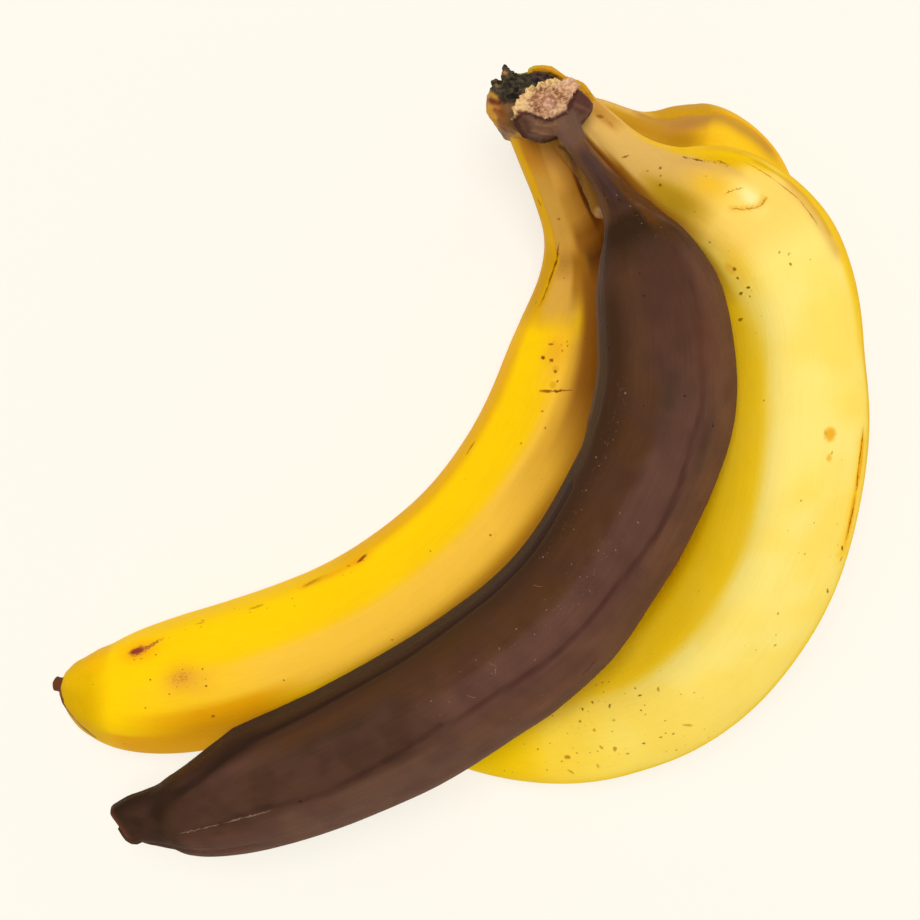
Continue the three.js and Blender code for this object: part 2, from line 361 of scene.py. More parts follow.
sine, cosine = calc(t, "SINE", angle), calc(t, "COSINE", angle)


def number(tree, name):
    return add(tree, "GeometryNodeInputNamedAttribute", {"Name": name}, data_type="FLOAT").outputs[0]


along, girth = number(t, "along"), number(t, "girth")
dry = calc(t, "MAXIMUM", remap(t, along, 0.1, 0.2, 1, 0), remap(t, along, 0.93, 0.99, 0, 1))
total = None
for i in range(5):
    first = given[f"Ridge {i + 1}"]
    second = given[f"Ridge {i + 2}"] if i < 4 else calc(t, "SUBTRACT", given["Ridge 1"], 360)
    half = calc(t, "RADIANS", calc(t, "MULTIPLY", calc(t, "SUBTRACT", first, second), 0.5))
    facing = calc(t, "SUBTRACT", calc(t, "RADIANS", first), half)
    share = calc(t, "DIVIDE", calc(t, "COSINE", calc(t, "SUBTRACT", angle, facing)), calc(t, "COSINE", half))
    term = calc(t, "POWER", calc(t, "MAXIMUM", share, 0), given["Sharpness"])
    total = term if total is None else calc(t, "ADD", total, term)
section = calc(t, "MULTIPLY", given["Swell"], calc(t, "POWER", total, calc(t, "DIVIDE", -1, given["Sharpness"])))

down = number(t, "down")
round_x, flat_x, round_z = (calc(t, "MULTIPLY", girth, part) for part in (sine, angle, cosine))
peel_place = add(t, "ShaderNodeCombineXYZ", {0: round_x, 1: down, 2: round_z}).outputs[0]
flat_place = add(t, "ShaderNodeCombineXYZ", {0: flat_x, 1: down, 2: 0.0}).outputs[0]
broad = clouds(t, peel_place, 0.045, 1.0, seed=given["Seed"])
lengthwise = vector_calc(t, "MULTIPLY", peel_place, (0.55, 0.035, 0.55))
fine = clouds(t, lengthwise, 1.0, 3.0, seed=given["Seed"])
pucker = calc(t, "MULTIPLY_ADD", given["Dry wrinkles"], dry, given["Wrinkles"])
relief = calc(t, "ADD", sway(t, broad, 0.62, given["Waves"]), sway(t, fine, 0.7, pucker))
reach = calc(t, "MULTIPLY_ADD", girth, section, calc(t, "MULTIPLY", relief, remap(t, girth, 0.5, 3.0)))
reach = calc(t, "MULTIPLY", reach, 1 / MM_PER_M)
outward = vector_calc(t, "ADD", vector_calc(t, "SCALE", hollow_side, calc(t, "MULTIPLY", reach, sine)),
                      vector_calc(t, "SCALE", upper_side, calc(t, "MULTIPLY", reach, cosine)))
settled = vector_calc(t, "MAXIMUM", vector_calc(t, "ADD", on_spine, outward), (-9, -9, 0))
# The places are stored before the points move, because a field reads the geometry as it is at its own node.
stored = tube
for label, value in (("peel", peel_place), ("flat", flat_place), ("around", calc(t, "DEGREES", angle))):
    inputs = {0: stored.outputs[0], "Name": label, "Value": value}
    kind = "FLOAT" if label == "around" else "FLOAT_VECTOR"
    stored = add(t, "GeometryNodeStoreNamedAttribute", inputs, data_type=kind)
moved = add(t, "GeometryNodeSetPosition", {"Geometry": stored.outputs[0], "Position": settled})
finish_tree(t, moved.outputs[0], given["Skin"])
print("nodes in the tree:", len(t.nodes))

# %% [markdown]
# ## Growing the four peels
# A modifier runs the tree on each spine. Its inputs are set by the socket's identifier before the result is asked for.
# The result is kept as a plain mesh and the modifier goes, so nothing has to be worked out again later.
# %% Grow the fruits
def settle(piece):
    """Turns what an object's modifiers make of it into its own plain mesh, and removes them."""
    graph = bpy.context.evaluated_depsgraph_get()
    mesh = bpy.data.meshes.new_from_object(piece.evaluated_get(graph), preserve_all_data_layers=True, depsgraph=graph)
    piece.modifiers.clear()
    piece.data = mesh
    mesh.name = piece.name
    return piece


def grow(name, start_mesh, tree, values):
    """Runs a geometry tree on a mesh and returns an object with the plain mesh that it made."""
    made = put(name, start_mesh)
    modifier = made.modifiers.new(tree.name, "NODES")
    modifier.node_group = tree
    identifiers = {s.name: s.identifier for s in tree.interface.items_tree if s.in_out == "INPUT"}
    for label, value in values.items():
        modifier[identifiers[label]] = value
    return settle(made)


skins = {name: bpy.data.materials.new(name.replace("_", " ") + " peel") for name in FRUITS}
LOOKS = ("Sharpness", "Swell", "Waves", "Wrinkles", "Dry wrinkles", "Seed")
LOOK_OF = {"banana_left": (5.0, 1.12, 0.5, 0.0, 0.3, 1.0), "banana_right": (4.5, 1.13, 0.6, 0.0, 0.25, 2.0),
           "banana_back": (5.0, 1.12, 0.5, 0.0, 0.35, 3.0), "banana_brown": (6.0, 1.12, 0.9, 0.3, 0.6, 4.0)}
fruits = {}
for name, fruit in FRUITS.items():
    ridges = {f"Ridge {i + 1}": float(a) for i, a in enumerate(fruit["ridges"])}
    values = {**ridges, **dict(zip(LOOKS, LOOK_OF[name])), "Skin": skins[name]}
    fruits[name] = grow(name.replace("banana_", "") + "_fruit", spines[name], fruit_tree, values)
    print(fruits[name].name, "has", len(fruits[name].data.polygons), "faces")

# %% [markdown]
# ## Working with brushes
# Growth rules don't know about knocks, bruises or which flat saw the sun, so those are added as a modeller would with
# soft brushes. `Skin` holds a piece's points, normals and colours as arrays. A brush is a number from 0 to 1 for every
# point. Pressing moves points along their normals, airbrushing pulls their colour towards another, and painting stores
# a mask for the material. Strokes are written as tables: a colour or the name of a mask, then strengths with their
# brushes, so that (0.5, ("spot", 0.3, 20, 5, 3)) is half of what `spot` makes of those four numbers. This could be
# done with a mouse in Sculpt and Paint modes; written down, every stroke can be tuned again.
# %% A skin that takes brushes
X, Y, Z = 0, 1, 2


def ease(x):
    x = np.clip(x, 0, 1)
    return x * x * (3 - 2 * x)


def slope(place, axis, start, width):
    """0 up to a place on an axis, easing to 1 over a width, which is negative where it goes the other way."""
    return ease((place[:, axis] - start) / width)


def rough(points, size, octaves=3, seed=0.0, fading=0.6, finer=2.0):
    """Smooth noise of about -1 to 1 at each point, with features of the given size in millimetres. Each octave is
    finer than the one before and fades more."""
    shift = Vector((seed, 2 * seed, 3 * seed))
    return np.array([noise.fractal(Vector(p) / size + shift, fading, finer, octaves) for p in points])


def hump(x, middle, width):
    """1 at the middle, falling to about 0 at twice the width on either side."""
    return np.exp(-(((x - middle) / width) ** 2))


class Skin:
    def __init__(self, piece, colour):
        self.mesh = piece.data
        self.place = self.read("co", self.mesh.vertices, 3) * MM_PER_M - MIDDLE
        self.normal = self.read("vector", self.mesh.vertex_normals, 3)
        self.tint = np.tile(np.array(colour, float), (len(self.place), 1))
        self.masks = {}

    def read(self, what, source, size=1):
        values = np.zeros(len(self.mesh.vertices) * size, np.float32)
        source.foreach_get(what, values)
        return values.reshape(-1, size).astype(float) if size > 1 else values.astype(float)

    def press(self, brush, depth):
        self.place = self.place - self.normal * (brush * depth)[:, None]

    def airbrush(self, colour, brush):
        self.tint += (np.array(colour, float) - self.tint) * np.clip(brush, 0, 1)[:, None]

    def paint(self, name, brush):
        self.masks[name] = np.clip(np.maximum(self.masks.get(name, 0), brush), 0, 1)

    def brush(self, strength, *parts):
        """A strength times its parts. A part is an array, or the name of a brush and what that brush needs."""
        for part in parts:
            strength = strength * (getattr(self, part[0])(*part[1:]) if isinstance(part, tuple) else part)
        return strength

    def strokes(self, *rows):
        """Lays strokes over one another. A row is a colour or a mask's name, then the terms that make up its brush."""
        for target, *terms in rows:
            brush = sum(self.brush(*term) for term in terms)
            (self.paint if isinstance(target, str) else self.airbrush)(target, brush)

    def presses(self, *rows):
        """Presses brushes in. A row is a depth in millimetres, negative where the skin swells, and then its parts."""
        for depth, *parts in rows:
            self.press(self.brush(1, *parts), depth)

    def oval(self, x, y, long, short, turn=0, soft=0.5):
        """An oval seen from above: 1 inside, easing to 0 over the outer share `soft` of its size."""
        c, s = math.cos(math.radians(turn)), math.sin(math.radians(turn))
        dx, dy = self.place[:, 0] - x, self.place[:, 1] - y
        return ease((1 - np.hypot((c * dx + s * dy) / long, (-s * dx + c * dy) / short)) / soft)

    def seam(self, points, width):
        """A soft line through (x, y) places seen from above: 1 on it, about 0 a width away."""
        nearest = np.full(len(self.place), 1e9)
        for a, b in zip(np.array(points, float), np.array(points[1:], float)):
            t = np.clip(((self.place[:, :2] - a) @ (b - a)) / ((b - a) @ (b - a)), 0, 1)
            nearest = np.minimum(nearest, np.linalg.norm(self.place[:, :2] - a - t[:, None] * (b - a), axis=1))
        return np.exp(-2 * (nearest / width) ** 2)

    def finish(self):
        self.place[:, Z] = np.maximum(self.place[:, Z], 0)
        self.mesh.vertices.foreach_set("co", ((self.place + MIDDLE) / MM_PER_M).astype(np.float32).ravel())
        layer = self.mesh.attributes.new("tint", "FLOAT_COLOR", "POINT")
        opaque = np.column_stack([linear(self.tint), np.ones(len(self.tint))])
        layer.data.foreach_set("color", opaque.astype(np.float32).ravel())
        for name, values in self.masks.items():
            add_numbers(self.mesh, name, values)
        self.mesh.update()
        print(self.mesh.name, "painted, masks:", ", ".join(sorted(self.masks)) or "none")


class Peel(Skin):
    """A skin that also knows where each point lies on its fruit: how far along, and at which angle round it."""

    def __init__(self, piece, fruit, colour):
        super().__init__(piece, colour)
        self.fruit = fruit
        self.along, self.around, self.girth, self.down = (
            self.read("value", self.mesh.attributes[n].data) for n in ("along", "around", "girth", "down"))

    def offset(self, share, angle):
        """Millimetres across and along the skin from a place to every point."""
        turn = (self.around - angle + 180) % 360 - 180
        return np.radians(turn) * np.maximum(self.girth, 2), self.down - share * self.fruit["length"]

    def spot(self, share, angle, long, wide, turn=0):
        across, down = self.offset(share, angle)
        c, s = math.cos(math.radians(turn)), math.sin(math.radians(turn))
        return np.exp(-2 * (((c * across + s * down) / wide) ** 2 + ((c * down - s * across) / long) ** 2))

    def line(self, points, width):
        """A soft line through (share, angle) places: 1 on the line, about 0 a width away."""
        nearest = np.full(len(self.along), 1e9)
        for (s0, a0), (s1, a1) in zip(points, points[1:]):
            x, y = self.offset(s0, a0)
            radius = smooth_radius(self.fruit["outline"], (s0 + s1) / 2)
            dx, dy = math.radians(a1 - a0) * radius, (s1 - s0) * self.fruit["length"]
            t = np.clip((x * dx + y * dy) / (dx * dx + dy * dy), 0, 1)
            nearest = np.minimum(nearest, np.hypot(x - t * dx, y - t * dy))
        return np.exp(-2 * (nearest / width) ** 2)

    def crisp_line(self, points, width, gain):
        """The same with a flat top and steeper sides."""
        return ease(gain * self.line(points, width))

    def facing(self, angle, half, soft):
        """1 within `half` degrees of an angle round the fruit, easing to 0 over `soft` degrees more."""
        turn = np.abs((self.around - angle + 180) % 360 - 180)
        return 1 - ease((turn - half) / soft)

    def stretch(self, *pairs):
        """A value that changes along the fruit, given as (share, value) pairs."""
        return np.interp(self.along, [p[0] for p in pairs], [p[1] for p in pairs])

    def cloud(self, size, seed):
        """Noise from 0 to 1, for patches that no rule places."""
        return ease(0.5 + 0.9 * rough(self.place, size, 2, seed))

    def bands(self, *rows):
        """Lays stripes. A row is a colour, a window of angles (middle, half, soft) and (share, strength) pairs."""
        for colour, window, *strengths in rows:
            self.airbrush(colour, self.facing(*window) * self.stretch(*strengths))


STARTING = {"banana_left": (254, 204, 6), "banana_right": (254, 204, 22), "banana_back": (242, 190, 24),
            "banana_brown": (90, 60, 46)}
peels = {name: Peel(fruits[name], FRUITS[name], STARTING[name]) for name in FRUITS}
left, right, back, brown = (peels[n] for n in FRUITS)
print("points that can be brushed on each peel:", len(left.place))

# %% [markdown]
# ## Knocks, creases and dents
# No fruit is as regular as its outline, so the flanks swell a little here and there. The inner yellow fruit has a blunt
# end whose flower scar left a dark nub. The pale outer fruit has a lens-shaped dent on its shoulder and a fine crease
# beside it. The brown fruit has lost water: its peel sank between the ridges and folded into long creases. Most are
# pressed only a fraction of a millimetre deep, because under soft light a shallow hollow already shows.
# %% Press the peels
left.presses(
    (-2.7, ("spot", 0.15, -88, 15, 11)),
    (-1.0, ("facing", 80, 26, 20), ("stretch", (0.2, 0), (0.27, 0.5), (0.84, 0.6), (0.93, 0.3), (0.97, 0))),
    (0.3, ("line", [(0.138, 37), (0.155, 44), (0.168, 51), (0.193, 51), (0.221, 51)], 0.9)),
    (0.25, ("spot", 0.89, 43, 5, 3)),
    (0.25, ("spot", 0.614, 51, 3, 1.4)),
    (-1.1, ("facing", 30, 60, 40), ("stretch", (0.94, 0), (0.965, 0.5), (0.982, 0.9), (0.988, 0.6), (0.991, 0))),
    (0.65, ("stretch", (0.99, 0), (0.993, 1), (0.997, 0.7), (1, -0.5))))

right.presses(
    (-1.5, ("spot", 0.25, -84, 18, 13)),
    (-1.0, ("facing", -88, 26, 18), ("stretch", (0.3, 0), (0.36, 0.2), (0.52, 0.2), (0.6, 0))),
    (0.5, ("spot", 0.199, -19, 2.2, 4.4, 50)),
    (-0.22, ("line", [(0.193, -4), (0.2, -9), (0.207, -20), (0.206, -29)], 0.8)),
    (0.14, ("line", [(0.205, -50), (0.221, -51), (0.24, -50)], 0.8)),
    (0.5, ("line", [(0.04, 30), (0.12, 38), (0.19, 46)], 2.5)),
    (0.2, ("line", [(0.4, -57), (0.45, -56), (0.5, -57)], 1.0)),
    (0.35, ("spot", 0.5, 30, 30, 9)))

back.presses(
    (0.9, ("spot", 0.31, -82, 14, 9)),
    (0.6, ("line", [(0.08, -10), (0.15, -12), (0.22, -20)], 2.5)),
    (0.3, ("line", [(0.12, -60), (0.17, -52), (0.22, -50)], 1.4)))

HOLLOW_SIDE_SWELL = [(0.12, 0), (0.17, 1), (0.26, 1.1), (0.3, 1.9), (0.335, 1.9), (0.37, 0.8), (0.6, 0.6), (0.68, 0),
    (0.78, 0), (0.82, 0.6), (0.845, 1.2), (0.866, 1.7), (0.885, 1), (0.905, 0.4), (0.925, 0), (0.945, -0.7),
    (0.965, -0.4), (0.985, 0.2), (1, 0.4)]
OUTER_SIDE_SWELL = [(0.3, 0), (0.34, -0.5), (0.39, -0.3), (0.47, 0), (0.52, 0.9), (0.59, 0.9), (0.63, 0.2), (0.66, 0),
    (0.95, 0), (0.968, 1.1), (0.985, 1.3), (1, 0.9)]
brown.presses(
    (-1.0, ("facing", 84, 26, 20), ("stretch", *HOLLOW_SIDE_SWELL)),
    (-1.0, ("facing", -86, 30, 20), ("stretch", *OUTER_SIDE_SWELL)))
LEFT_CREASE = [(0.4, 62), (0.44, 60), (0.49, 60), (0.53, 60), (0.58, 58), (0.62, 56), (0.68, 53), (0.73, 52),
    (0.78, 50), (0.84, 50), (0.88, 44), (0.91, 36), (0.94, 28)]
RIGHT_CREASE = [(0.2, -30), (0.25, -27), (0.29, -26), (0.316, -22), (0.361, -27), (0.393, -28), (0.449, -22),
    (0.544, -21), (0.6, -17), (0.64, -17), (0.7, -12)]
LOWER_CREASE = [(0.66, -13), (0.72, -17), (0.79, -21), (0.86, -14), (0.92, -18)]
brown.presses(
    (0.8, ("line", LEFT_CREASE, 2.0)),
    (0.6, ("line", RIGHT_CREASE, 1.4)),
    (0.45, ("line", LOWER_CREASE, 1.2)),
    (0.18, ("line", [(0.36, -44), (0.45, -42), (0.52, -46), (0.6, -40)], 0.9)),
    (0.35, ("line", [(0.2, 20), (0.35, 24), (0.5, 22), (0.62, 26)], 4.5)),
    (0.5, ("line", [(0.05, -40), (0.1, -38), (0.15, -52), (0.2, -60)], 1.4)),
    (0.6, ("line", [(0.05, 25), (0.11, 30), (0.16, 34), (0.24, 40)], 1.6)),
    (0.6, ("line", [(0.88, -60), (0.93, -62), (0.965, -70)], 1.6)))
print("creases pressed into", len(peels), "peels")

# %% [markdown]
# ## The inner yellow fruit
# A peel isn't one yellow. The neck ripens last and stays mustard and tan, the flat that faces up looks waxy and a touch
# orange, the hollow side is a deeper gold, and the end turns olive before it goes brown. The side that faces the brown
# fruit, the neck beside the brown neck and the lower flank near the end are painted darker as shade. Each stroke below
# is a window of angles times a stretch of the fruit, laid over the ones before it, broad ones first.
# %% Airbrush the inner yellow fruit
ALL_ROUND = (0, 181, 1)
left.bands(
    ((252, 197, 66), (-7, 14, 13), (0.24, 0), (0.3, 0.8), (0.42, 1), (0.76, 0.9), (0.86, 0.3), (0.92, 0)),
    ((240, 180, 2), (76, 18, 12), (0.24, 0.6), (0.3, 1), (0.62, 1), (0.68, 0.3), (0.74, 0)),
    # painted shade: the next three stripes darken the side that faces the brown fruit and, near the end, the flank
    # below it
    ((204, 144, 40), (-44, 12, 16), (0.24, 0), (0.3, 0.8), (0.45, 1), (0.56, 0.9), (0.66, 0.6), (0.74, 0)),
    ((238, 166, 10), (-36, 14, 10), (0.72, 0), (0.78, 1), (0.84, 1), (0.88, 0.6), (0.92, 0)),
    ((240, 170, 2), (-66, 20, 10), (0.8, 0.8), (0.92, 1), (0.95, 0)),
    ((206, 150, 56), ALL_ROUND, (0, 1), (0.16, 1), (0.2, 0.8), (0.235, 0.3), (0.26, 0)),
    ((232, 177, 6), (72, 22, 12), (0, 0.7), (0.05, 1), (0.14, 1), (0.2, 0.5), (0.25, 0)),
    ((212, 156, 6), (64, 20, 12), (0.13, 0), (0.16, 1), (0.2, 1), (0.235, 0.5), (0.26, 0)),
    ((218, 166, 70), (24, 14, 14), (0.04, 0), (0.08, 1), (0.13, 1), (0.15, 0.4), (0.19, 0.9), (0.225, 0.9),
        (0.26, 0)),
    ((190, 137, 54), (18, 18, 14), (0.142, 0), (0.158, 1), (0.174, 0.6), (0.19, 0)),
    ((206, 138, 42), (22, 18, 16), (0, 1), (0.035, 1), (0.055, 0)),
    ((238, 178, 78), (-18, 18, 14), (0, 1), (0.045, 1), (0.07, 0.7), (0.085, 0)),
    # painted shade: the next six stripes darken the neck and the side beside the brown fruit's neck and body, which lie
    # above
    ((160, 104, 32), (-45, 34, 14), (0.11, 0), (0.13, 1), (0.15, 0.9), (0.2, 0)),
    ((114, 70, 24), (-48, 24, 18), (0.14, 0), (0.16, 1), (0.2, 1), (0.24, 0)),
    ((168, 112, 26), (-2, 8, 10), (0.145, 0), (0.16, 1), (0.2, 0.8), (0.23, 0)),
    ((220, 164, 48), (-12, 12, 10), (0.24, 0), (0.27, 1), (0.33, 1), (0.4, 0.7), (0.48, 0)),
    ((150, 94, 24), (-26, 15, 12), (0.16, 0), (0.19, 1), (0.31, 1), (0.36, 0.4), (0.4, 0)),
    ((104, 62, 18), (-74, 18, 12), (0.05, 0.3), (0.09, 1), (0.12, 0.8), (0.14, 0.3), (0.16, 1), (0.3, 1), (0.38, 0)),
    ((228, 178, 2), ALL_ROUND, (0.925, 0), (0.955, 1), (1, 1)),
    ((212, 164, 4), (-40, 26, 34), (0.93, 0), (0.955, 0.8), (0.97, 1), (1, 1)),
    ((246, 182, 4), (54, 16, 14), (0.93, 0), (0.95, 0.9), (0.965, 0.4), (0.98, 0)))
left.strokes(
    ((254, 194, 54), (0.8, ("spot", 0.29, 15, 14, 5))),
    ((246, 186, 44), (0.7, ("spot", 0.832, 0, 14, 6), ("cloud", 9, 4.0))),
    ((222, 146, 56), (0.6, ("spot", 0.848, 10, 6, 5)), (0.35, ("spot", 0.975, -64, 4, 3))),
    ((240, 160, 14), (0.8, ("spot", 0.89, 43, 7, 4)), (0.6, ("spot", 0.614, 51, 4.5, 2.0)),
     (0.5, ("line", [(0.62, 51), (0.65, 52), (0.69, 55)], 1.6))),
    ((236, 168, 30), (0.6, ("spot", 0.28, 17, 6, 3.6))),
    ((190, 132, 62), (0.7, ("spot", 0.035, -6, 5, 3.6))),
    ("bruise", (0.8, ("spot", 0.894, 43, 4.2, 2.2)), (0.6, ("line", [(0.88, 44), (0.872, 46), (0.862, 48)], 1.0))),
    ("bruise", (0.42, ("spot", 0.85, 11, 6, 4))),
    ("burnt", (1, ("stretch", (0.987, 0), (0.99, 1)))),
    ("burnt", (1, ("line", [(0.988, -14), (0.98, -32), (0.97, -48), (0.957, -64), (0.948, -72)], 0.8))),
    ("dots", (0.02,), (0.5, ("spot", 0.847, 9, 11, 6)), (0.3, ("line", [(0.6, 47), (0.88, 46)], 3)),
     (0.35, ("spot", 0.27, 10, 6, 3))))

# %% [markdown]
# ## The pale outer fruit
# This one lay outermost on the hand. The two flats that face up bleached to a milky yellow, its outside edge kept a
# saturated rim, and the side in the shade of the brown fruit is the deep yellow that all of it once was. The hollow
# side of its neck, under the brown fruit's neck, is painted dark as shade, and the dent on its shoulder has a painted
# highlight inside and painted shade along its rims. Dots gather towards the end, where a peel rubs most.
# %% Airbrush the pale outer fruit
right.bands(
    ((254, 229, 122), (-16, 42, 22), (0.165, 0), (0.195, 0.9), (0.24, 1), (0.66, 1), (0.74, 0.8), (0.84, 0.4),
        (0.88, 0)),
    ((255, 209, 28), (50, 18, 14), (0.26, 0), (0.34, 0.9), (0.8, 1), (0.88, 0)),
    ((255, 204, 6), (84, 12, 14), (0.26, 1), (0.9, 1)),
    ((255, 200, 8), (-106, 34, 12), (0.3, 0), (0.36, 1), (0.5, 0.9), (0.6, 0)),
    ((255, 214, 6), (-106, 36, 14), (0.48, 0), (0.58, 1), (0.84, 1), (0.92, 0)),
    ((248, 203, 6), ALL_ROUND, (0.84, 0), (0.89, 1), (1, 1)),
    ((254, 208, 98), (-14, 36, 14), (0.165, 0), (0.19, 0.8), (0.22, 0.8), (0.25, 0)),
    ((225, 179, 94), ALL_ROUND, (0, 1), (0.12, 1), (0.15, 0.9), (0.17, 0.7), (0.19, 0)),
    ((242, 190, 34), (-66, 12, 12), (0.05, 0), (0.09, 0.9), (0.14, 1), (0.17, 0.9), (0.2, 0)),
    ((228, 176, 8), (-48, 8, 8), (0.14, 0), (0.155, 1), (0.17, 1), (0.185, 0)),
    ((206, 152, 62), (-38, 12, 14), (0, 1), (0.045, 1), (0.06, 0)),
    # painted shade: the next three stripes darken the neck's hollow side under the brown fruit's neck
    ((194, 148, 34), (18, 8, 12), (0.105, 0), (0.13, 0.9), (0.15, 0.8), (0.17, 0.3), (0.19, 0)),
    ((156, 102, 18), (38, 8, 12), (0.05, 0), (0.085, 1), (0.14, 1), (0.17, 0.5), (0.21, 0)),
    ((112, 62, 18), (68, 24, 14), (0, 0.6), (0.06, 1), (0.16, 1), (0.21, 0.6), (0.27, 0)),
    ((236, 184, 4), (-92, 24, 8), (0.13, 0), (0.17, 1), (0.34, 1), (0.42, 0.4), (0.48, 0)))
right.strokes(
    ((254, 208, 56), (0.35, ("cloud", 16, 5.0), ("facing", -10, 60, 20),
     ("stretch", (0.24, 0), (0.3, 1), (0.8, 1), (0.88, 0.4)))),
    # painted shade, olive, beside the brown fruit's neck
    ((188, 146, 26), (1, ("spot", 0.148, 12, 9, 4.4))),
    ((246, 190, 42), (0.8, ("spot", 0.168, -12, 5, 4))),
    ((240, 190, 6), (1, ("line", [(0.122, -54), (0.135, -50), (0.15, -50), (0.172, -52), (0.19, -56)], 2.6))),
    ((216, 168, 92), (0.8, ("spot", 0.148, -31, 7, 1.8)), (0.6, ("spot", 0.174, -35, 4, 1.6))),
    ((250, 198, 18), (1, ("facing", -72, 12, 8), ("stretch", (0.19, 0), (0.21, 0.9), (0.3, 0.7), (0.36, 0)))),
    ((224, 172, 84), (0.7, ("line", [(0.215, -55), (0.24, -53), (0.262, -55)], 2.4))),
    ((214, 160, 40), (0.8, ("line", [(0.185, -56), (0.2, -57), (0.22, -58), (0.25, -57)], 0.8))),
    # painted highlight inside the dent on the shoulder
    ((255, 240, 172), (0.75, ("spot", 0.1985, -22, 3.0, 4.0, 50))),
    # painted shade along the dent's lower rim
    ((228, 172, 40), (0.7, ("line", [(0.193, -4), (0.2, -9), (0.207, -20), (0.206, -29)], 0.7))),
    ((188, 133, 59), (0.9, ("spot", 0.03, -28, 4, 2.4))),
    ((253, 204, 48), (0.7, ("spot", 0.235, 24, 11, 4.4))),
    ((255, 196, 34), (0.75, ("line", [(0.41, -57), (0.46, -56), (0.5, -57)], 2.4))),
    ("bruise", (0.5, ("line", [(0.135, -37), (0.15, -36), (0.17, -38)], 1.2)), (0.5, ("spot", 0.045, -30, 3.0, 1.5))),
    ("burnt", (1, ("stretch", (0.985, 0), (0.993, 1)))),
    ("dots", (0.03,), (0.3, ("facing", -10, 40, 20), ("stretch", (0.6, 0), (0.68, 0.8), (0.82, 1), (0.9, 0.3))),
     (0.25, ("spot", 0.5, -28, 24, 9)), (0.2, ("spot", 0.27, 26, 16, 8))))

# %% [markdown]
# ## The fruit at the back
# Only its shoulder shows above the others from the front, but it is finished all round, because the hand can be turned.
# A bruise runs down its shoulder as a wide mauve band.
# %% Airbrush the fruit at the back
back.bands(
    ((252, 206, 60), (-8, 22, 20), (0.26, 0), (0.38, 0.8), (0.8, 0.7), (0.92, 0)),
    ((238, 176, 4), (80, 24, 18), (0.2, 0.5), (0.3, 1), (0.9, 0.8)),
    ((216, 162, 4), ALL_ROUND, (0.86, 0), (0.93, 0.8), (1, 1)),
    ((224, 176, 86), (-58, 24, 16), (0, 1), (0.1, 1), (0.125, 0.3), (0.15, 0)),
    ((196, 146, 34), (-12, 20, 16), (0, 1), (0.14, 1), (0.18, 0.2), (0.22, 0)),
    ((206, 152, 8), (-96, 44, 14), (0.11, 0), (0.13, 1), (0.19, 1), (0.23, 0.2), (0.28, 0)),
    ((252, 192, 18), (-96, 40, 14), (0.2, 0), (0.25, 1), (0.7, 0.6), (0.9, 0)))
back.strokes(
    ((244, 195, 34), (0.95, ("spot", 0.23, -28, 12, 5.5))),
    ((176, 128, 14), (0.9, ("spot", 0.16, -14, 8, 5))))
BRUISE_BAND = [(0.1, -50), (0.13, -45), (0.158, -40), (0.178, -42), (0.2, -43), (0.223, -43), (0.243, -43),
    (0.265, -45)]
back.strokes(
    ((190, 138, 54), (0.85, ("line", BRUISE_BAND, 3.0)), (0.7, ("spot", 0.16, -36, 7, 4))),
    ((170, 116, 66), (0.45, ("spot", 0.163, -36, 8, 2.8))),
    ((216, 140, 24), (0.6, ("line", [(0.2, -50), (0.235, -50), (0.27, -50)], 1.0))),
    ((196, 150, 70), (0.6, ("spot", 0.62, 10, 12, 5)), (0.5, ("spot", 0.44, -60, 16, 4))),
    ("bruise", (0.3, ("line", BRUISE_BAND[2:5], 1.8)), (0.5, ("spot", 0.62, 10, 8, 3))),
    ("burnt", (1, ("stretch", (0.985, 0), (0.993, 1)))),
    ("dots", (0.05,), (0.25, ("stretch", (0.4, 0), (0.6, 1), (0.9, 0.5)))))

